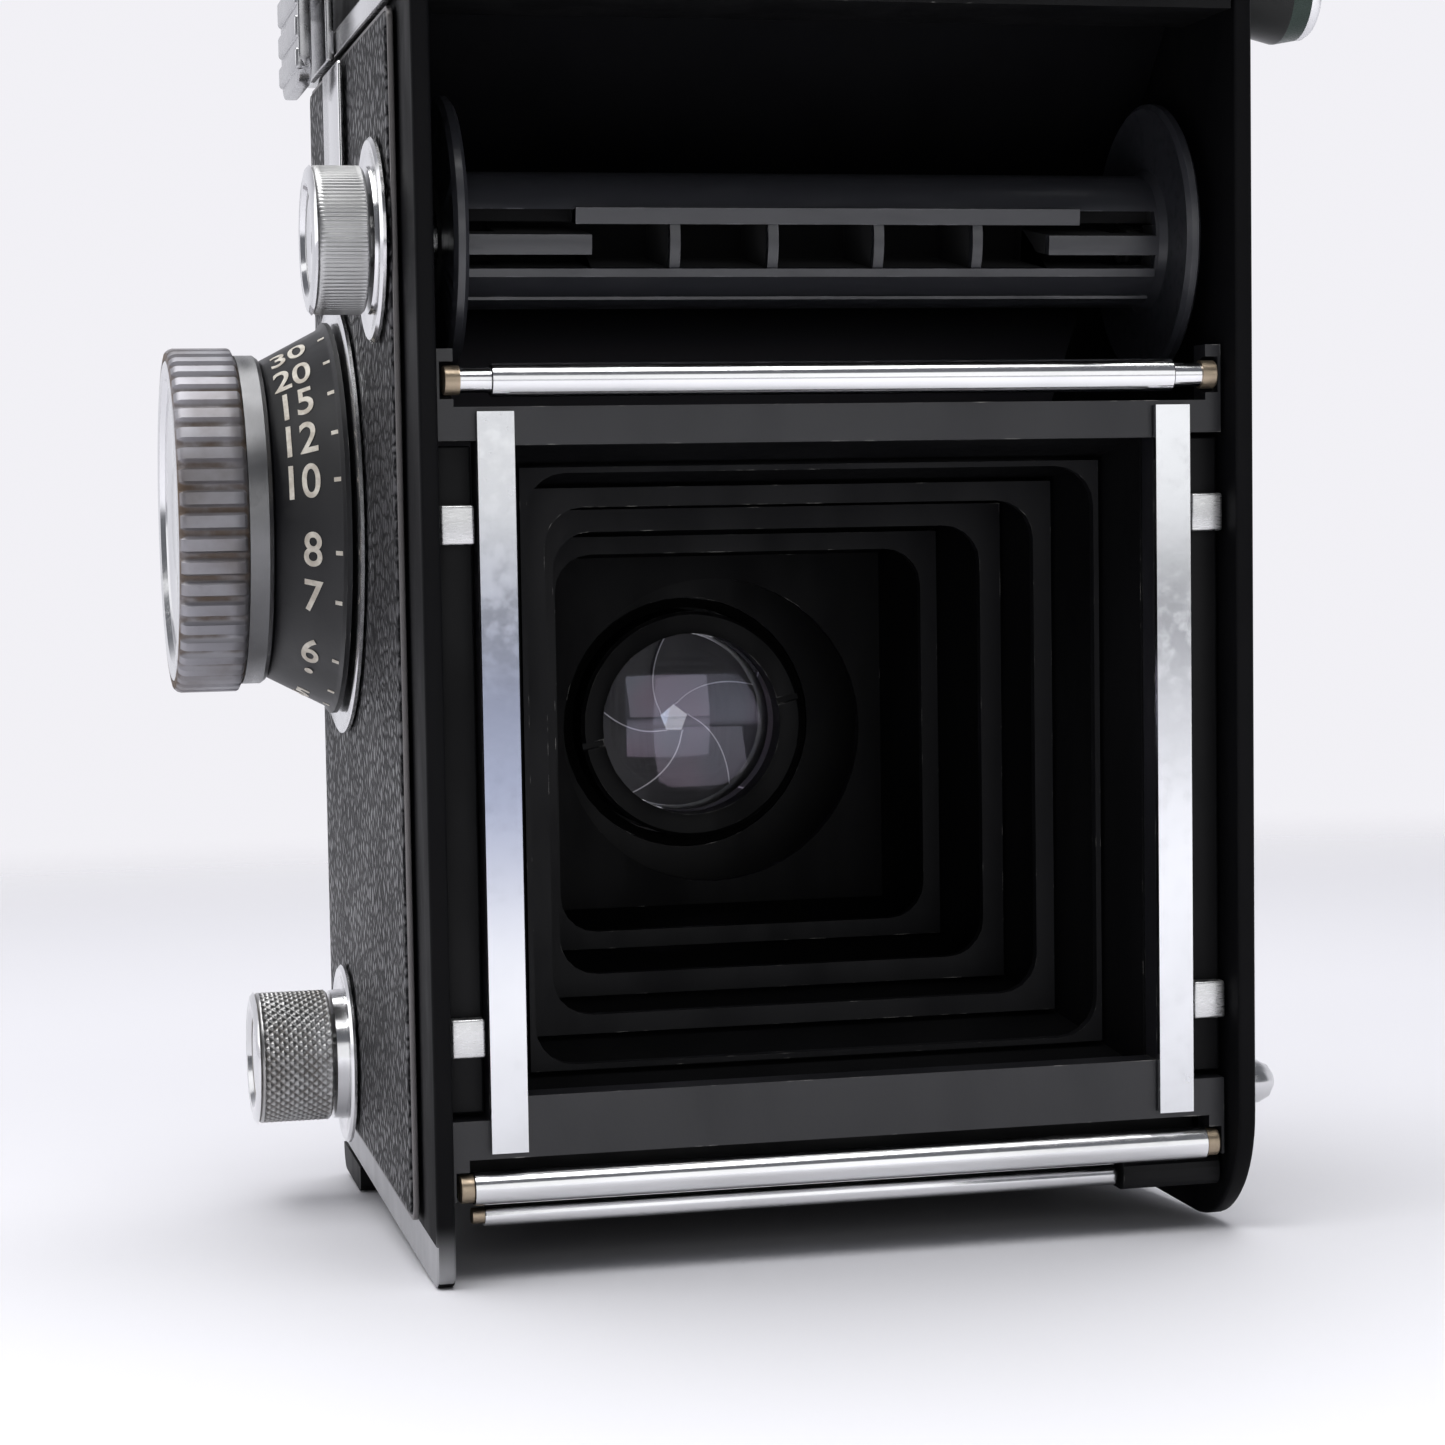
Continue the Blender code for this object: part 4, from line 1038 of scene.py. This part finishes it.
def crank():
    bright = chrome_look("crank_chrome", roughness=0.14)
    hub = [(0, -FACE), (9.0, -FACE), (9.0, -39.3), (8.7, -39.6), (6.8, -40.9), (6.3, -41.2), (0, -41.2)]
    turned("crank_boss", "x", CRANK_AXIS, hub, 96, bright, "crank", ["crank_hub"], "chrome")
    soften("crank_arm", bright, 0.25)
    grip = [(0, -43.3), (2.9, -43.3), (3.1, -43.6), (5.1, -51.8), (5.1, -52.0), (0, -52.0)]
    body = "crank_handle"
    turned(
        "handle_grip", "x", HANDLE_AXIS, grip, 64,
        enamel_look("handle_black", (0.004, 0.005, 0.0045), 0.3, 0.3, 0.2, 0.3), body, slot="black_paint"
    )
    sleeve = [(0, -52.0), (5.1, -52.0), (4.75, -54.0), (0, -54.0)]
    turned(
        "handle_sleeve", "x", HANDLE_AXIS, sleeve, 64,
        satin_look("sleeve_grey", (0.045, 0.06, 0.053), 0.28), body, slot="satin_metal"
    )
    cap = [(0, -54.0), (4.7, -54.0), (4.7, -54.6), (4.4, -55.05), (3.7, -55.25), (0, -55.3)]
    turned("handle_cap", "x", HANDLE_AXIS, cap, 64, bright, body, ["crank_handle"], "chrome")


# Lenses

def lenses():
    black = enamel_look("barrel_black", (0.005, 0.005, 0.006), 0.34, 0.7, 0.2, 0.5)
    plated = chrome_look("lens_plating", (0.7, 0.7, 0.71), 0.2)
    body = "lens_standard"
    taking_lens(black, plated, body)
    lens_glasses(body)
    iris(body)
    viewing_lens(black, plated, body)
    soften("lens_panel", satin_look("panel_grey", (0.42, 0.42, 0.43), 0.42, (1.0, 1.0, 1.0), 0.004), 0.5)
    lens_controls(plated)
    screws(body)


def taking_lens(black, plated, body):
    ring_black = enamel_look("ring_black", (0.003, 0.003, 0.0035), 0.5, 0.9, 0.25, 0.14)
    rear = [(9.35, 60.2), (10.0, 60.0), (11.3, 60.0), (11.65, 60.3), (11.65, 70.8), (9.4, 70.8), (9.4, 62.0)]
    tube = lathe("rear_ring", "depth", TAKING_AXIS, rear, 128, closed=True)
    slots = [lens_slot(angle) for angle in (10.0, 193.0)]
    piece("rear_retaining_ring", carved("rear_ring", tube, slots), ring_black, body)
    seal = [(11.95, 63.5), (12.9, 63.5), (12.9, 65.7), (11.95, 65.7)]
    soot = enamel_look("seal_black", (0.002, 0.002, 0.002), 0.8, 0.0, 0.1, 0.05)
    turned("light_seal", "depth", TAKING_AXIS, seal, 96, soot, "camera_body", slot="matt_black", closed=True)
    outer = [
        (11.4, 75.0), (9.4, 75.0), (9.4, 70.9), (21.8, 70.9), (22.0, 71.1), (22.0, 73.0), (21.6, 73.3),
        (21.6, 74.2), (22.0, 74.5), (22.0, 77.2), (21.0, 78.6), (20.0, 79.0), (16.4, 79.0), (16.0, 79.3),
        (16.0, 84.0), (15.4, 84.6), (14.0, 84.6), (13.2, 83.5), (12.9, 82.9), (12.6, 82.8), (12.2, 81.8),
        (11.9, 81.7), (11.4, 80.5)
    ]
    turned(
        "taking_lens_mount", "depth", TAKING_AXIS, outer, 160, black, body, ["taking_barrel"],
        "black_paint", closed=True
    )
    rim = [(15.3, 84.0), (16.05, 84.0), (16.05, 81.4), (16.3, 81.2), (16.3, 80.2), (16.0, 80.0), (15.3, 80.0)]
    turned("taking_lens_rim", "depth", TAKING_AXIS, rim, 160, plated, body, slot="chrome", closed=True)


def lens_glasses(body):
    glass = glass_look("coated_glass")
    front_glass = glass_look("front_glass", (0.5, 0.45, 0.8), 0.1)
    for name, centre, radius, back, front, bulge_back, bulge_front in (
        ("taking_rear_lens", TAKING_AXIS, 9.3, 63.0, 65.2, 1.8, 1.8),
        ("taking_front_lens", TAKING_AXIS, 11.2, 77.0, 80.9, -0.4, 1.7),
        ("viewing_lens", VIEWING_AXIS, 12.2, 75.0, 79.9, -0.4, 1.9),
    ):
        profile = lens_profile(radius, back, front, bulge_back, bulge_front, 10)
        turned(
            f"{name}_glass", "depth", centre, profile, 96, glass if "rear" in name else front_glass, body,
            [name], "glass"
        )
    middle = [(0, 73.2), (7.5, 73.6), (7.5, 74.4), (0, 74.8)]
    inner_glass = glass_look("inner_glass", (0.2, 0.3, 0.5), 0.3)
    turned("taking_middle_lens", "depth", TAKING_AXIS, middle, 64, inner_glass, body, slot="glass")


def iris(body):
    blades = enamel_look("blade_steel", (0.045, 0.045, 0.054), 0.4, 1.2, 0.12, 0.5)
    piece("iris_blades", iris_blades(), blades, body, ["iris"])
    # Painted highlight: a pale satin strip along each blade's leading edge.
    wear_and_highlight = satin_look("blade_edge_highlight", (0.42, 0.42, 0.46), 0.4, (1.0, 1.0, 3.0), 0.002)
    piece("iris_edges", iris_edges(), wear_and_highlight, body)


def viewing_lens(black, plated, body):
    view = [
        (10.6, 73.0), (10.6, 62.4), (11.0, 62.0), (11.8, 62.0), (12.2, 62.4), (12.2, 70.9), (15.8, 70.9),
        (16.0, 71.1), (16.0, 72.6), (15.7, 72.8), (15.7, 73.6), (16.0, 73.8), (16.0, 82.6), (15.4, 83.2),
        (14.2, 83.2), (13.7, 82.2), (13.4, 82.1), (13.0, 81.0), (12.7, 80.9), (12.4, 79.8), (12.4, 73.0)
    ]
    turned(
        "viewing_lens_mount", "depth", VIEWING_AXIS, view, 160, black, body, ["viewing_barrel"],
        "black_paint", closed=True
    )
    rim = [(15.2, 82.9), (16.05, 82.6), (16.3, 81.0), (16.3, 79.4), (16.0, 79.2), (15.2, 79.2)]
    turned("viewing_lens_rim", "depth", VIEWING_AXIS, rim, 160, plated, body, slot="chrome", closed=True)


def lens_controls(plated):
    for name, x in (("aperture_wheel", 19.0), ("speed_wheel", -19.0)):
        centre = (x, GATE_Z + 21.0)
        profile = [
            (0, 76.3), (3.6, 76.3), (4.0, 76.1), (4.6, 76.35), (5.3, 75.9), (5.5, 75.4), (5.5, 74.2),
            (5.5, 73.0), (5.5, 71.7), (4.9, 70.9), (0, 70.9)
        ]
        mesh = lathe(
            name, "depth", centre, profile, 30 * 10, shift=straight_ribs(30, 0.35, 71.6, 75.5), angle=55
        )
        piece(f"{name}_rim", mesh, plated, name, [name])
    button = [
        (0, 76.3), (1.6, 76.35), (2.5, 76.6), (3.1, 76.2), (3.3, 75.7), (3.3, 74.3), (3.0, 74.0),
        (1.2, 74.0), (1.2, 69.9), (0, 69.9)
    ]
    turned(
        "release_button", "depth", (19.0, 26.0), button, 64, plated, "shutter_release", ["shutter_release"],
        "chrome"
    )


def lens_profile(radius, back, front, bulge_back, bulge_front, steps):
    """The outline of a lens from the middle of its front, round its rim, to the middle of its back."""
    profile = [(radius * k / steps, front + bulge_front * (1 - (k / steps) ** 2)) for k in range(steps + 1)]
    for k in range(steps, -1, -1):
        profile.append((radius * k / steps, back - bulge_back * (1 - (k / steps) ** 2)))
    return profile


def lens_slot(angle):
    """A spanner slot in the rear ring."""
    return turned_box((4.0, 1.2, 0.7), (10.6, 0.0, 0.0), angle, "Y", (0.0, 60.0, GATE_Z))


IRIS = {"reach": 9.2, "opening": 1.5, "depth": 69.0, "lift": 0.45, "start": 0.3, "curl": 1.25}


def on_blade(blade, share, out, raised=0.0):
    """A place on an iris blade, share of the way across it and out towards its rim."""
    corner = IRIS["opening"] * math.cos(math.pi / 5) / math.cos((share - 0.5) * math.tau / 5)
    radius = corner + (IRIS["reach"] - corner) * out
    turn = IRIS["start"] + math.tau * (blade + share) / 5 + IRIS["curl"] * math.sqrt(out)
    depth = IRIS["depth"] + IRIS["lift"] * share - raised
    return at(radius * math.cos(turn), depth, GATE_Z + radius * math.sin(turn))


def iris_blades():
    """Five overlapping curved blades round a small five-sided opening."""
    bm = bmesh.new()
    for blade in range(5):
        grid = [
            [bm.verts.new(on_blade(blade, -0.04 + 1.08 * i / 12, k / 14)) for k in range(15)]
            for i in range(13)
        ]
        for first, second in zip(grid, grid[1:]):
            for k in range(14):
                bm.faces.new([first[k], first[k + 1], second[k + 1], second[k]])
    bmesh.ops.recalc_face_normals(bm, faces=bm.faces)
    bmesh.ops.solidify(bm, geom=bm.faces[:], thickness=0.05 * MM)
    return from_bmesh(bm, "iris_blades", 30.0)


def iris_edges():
    """A painted highlight along the leading edge of each blade, as a thin bright line."""
    bm = bmesh.new()
    for blade in range(5):
        rows = []
        for k in range(29):
            out = (k / 28) ** 1.3
            width = 0.05 / (0.3 + out)
            rows.append(
                [bm.verts.new(on_blade(blade, share, out, 0.14)) for share in (-0.04, -0.04 + width * 0.35)]
            )
        for first, second in zip(rows, rows[1:]):
            bm.faces.new([first[0], first[1], second[1], second[0]])
    bmesh.ops.recalc_face_normals(bm, faces=bm.faces)
    return from_bmesh(bm, "iris_edges", 30.0)


def screws(body):
    """Slotted screws that hold the lens panel."""
    meshes = []
    for x, z in ((-22.0, 103.0), (22.0, 103.0), (-22.5, 25.0), (0.0, 22.5)):
        head = lathe(
            "screw", "depth", (x, z), [(0, 70.95), (1.2, 70.95), (1.5, 70.75), (1.5, 70.3), (0, 70.3)], 32
        )
        slot = block("slot", (x - 2.0, 70.75, z - 0.16), (x + 2.0, 71.2, z + 0.16), 0.02)
        meshes.append(carved("screw", head, [slot]))
    piece(
        "panel_screws", merged("screws", meshes), chrome_look("screw_nickel", (0.66, 0.65, 0.62), 0.25),
        body
    )


# Hood

def hood():
    black = enamel_look("hood_black", (0.006, 0.006, 0.007), 0.42, 0.6, gloss=0.5)
    soften("hood_base", black, 0.3)
    for name in ("hood_left_flap", "hood_right_flap", "hood_rear_flap"):
        soften(name, black, 0.15)
    soften("hood_lid", black, 0.2)
    leather = bpy.data.materials["leather_grain"]
    cover = plate("lid_cover", "front", [frame_outline(26.5, 21.5, 3.0, (0.0, 152.0))], 64.2, 64.75, 0.15)
    piece("lid_cover", cover, leather, "hood_lid")
    bright = chrome_look("hood_chrome", (0.66, 0.66, 0.67), 0.2)
    for name, axis, centre, low, high in (
        ("hood_left_flap", "depth", (30.15, 122.2), 17.0, 61.0),
        ("hood_right_flap", "depth", (-30.15, 123.2), 17.0, 61.0),
        ("hood_rear_flap", "x", (14.65, 124.2), -27.5, 27.5),
        ("hood_lid", "x", (63.7, 127.5), -28.5, 28.5),
    ):
        rod = [(0, low), (0.45, low), (0.45, high), (0, high)]
        turned(f"{name}_pin", axis, centre, rod, 24, bright, name, slot="chrome")
    catch = block("lid_catch", (-6.0, 64.3, 173.9), (6.0, 65.0, 175.5), 0.25)
    piece("lid_catch", catch, bright, "hood_lid")
    holder = plate(
        "magnifier_holder", "front",
        [
            rounded([(-14.0, 140.0, 8.0), (14.0, 140.0, 8.0), (14.0, 171.0, 1.0), (-14.0, 171.0, 1.0)]),
            ring_outline((0.0, 154.5), 11.6)
        ],
        61.6, 62.7, 0.15
    )
    piece("magnifier_holder", holder, black, "magnifier")
    profile = lens_profile(11.7, 61.9, 62.5, 0.3, 0.35, 8)
    turned(
        "magnifier_glass", "depth", (0.0, 154.5), profile, 64,
        glass_look("loupe_glass", (0.85, 0.87, 0.9), 0.06), "magnifier", ["magnifier"], "glass"
    )
    panels = [
        plate(
            "cover", "front",
            [round_box(-33.6, 4.0, 33.6, 117.0, 1.0), frame_outline(27.6, 45.0, 12.0, (0.0, 63.5))], 66.05,
            66.6, 0.15
        )
    ]
    piece("front_covering", merged("front_covering", panels), leather, "camera_body")


# Back, in place as if shut and then swung up with the door

def back():
    black = enamel_look("door_black", (0.006, 0.006, 0.007), 0.42, 0.6, gloss=0.5)
    soften("back_door", black, 0.3)
    leather = bpy.data.materials["leather_grain"]
    bright = chrome_look("latch_chrome", roughness=0.15)
    cover = plate("back_covering", "front", [round_box(-35.6, 12.0, 35.6, 109.0, 2.0)], -8.9, -8.35, 0.2)
    piece("back_covering", cover, leather, "back", door=True)
    plate_look = satin_look("pressure_steel", (0.5, 0.5, 0.5), 0.3, (1.0, 1.0, 12.0), 0.004)
    soften("pressure_plate", plate_look, 0.25)
    disc = [(0, 0.12), (2.0, 0.12), (2.3, 0.3), (7.2, 0.3), (7.6, 0.14), (8.0, 0.3), (8.0, 0.8), (0, 0.8)]
    meshes = [
        lathe("latch", "z", (0.0, 40.0), disc, 96),
        block("lever", (0.0, 38.4, 0.12), (14.0, 41.6, 0.78), 0.25)
    ]
    piece("latch_plate", merged("latch", meshes), bright, "door_latch", ["door_latch"], door=True)
    thread = [(6.2, 0.12), (6.5, 0.3), (6.5, 0.8), (3.2, 0.8)] + [
        (3.2 + (0.25 if k % 2 else 0.0), 0.75 - 0.08 * k) for k in range(8)
    ]
    turned(
        "socket_ring", "z", (0.0, 24.0), thread, 96, bright, "back", ["tripod_socket"], "satin_metal",
        door=True, closed=True
    )


add_camera()
add_room()
body_shell()
rollers()
take_up_spool()
focusing()
spool_knobs()
crank()
lenses()
hood()
back()
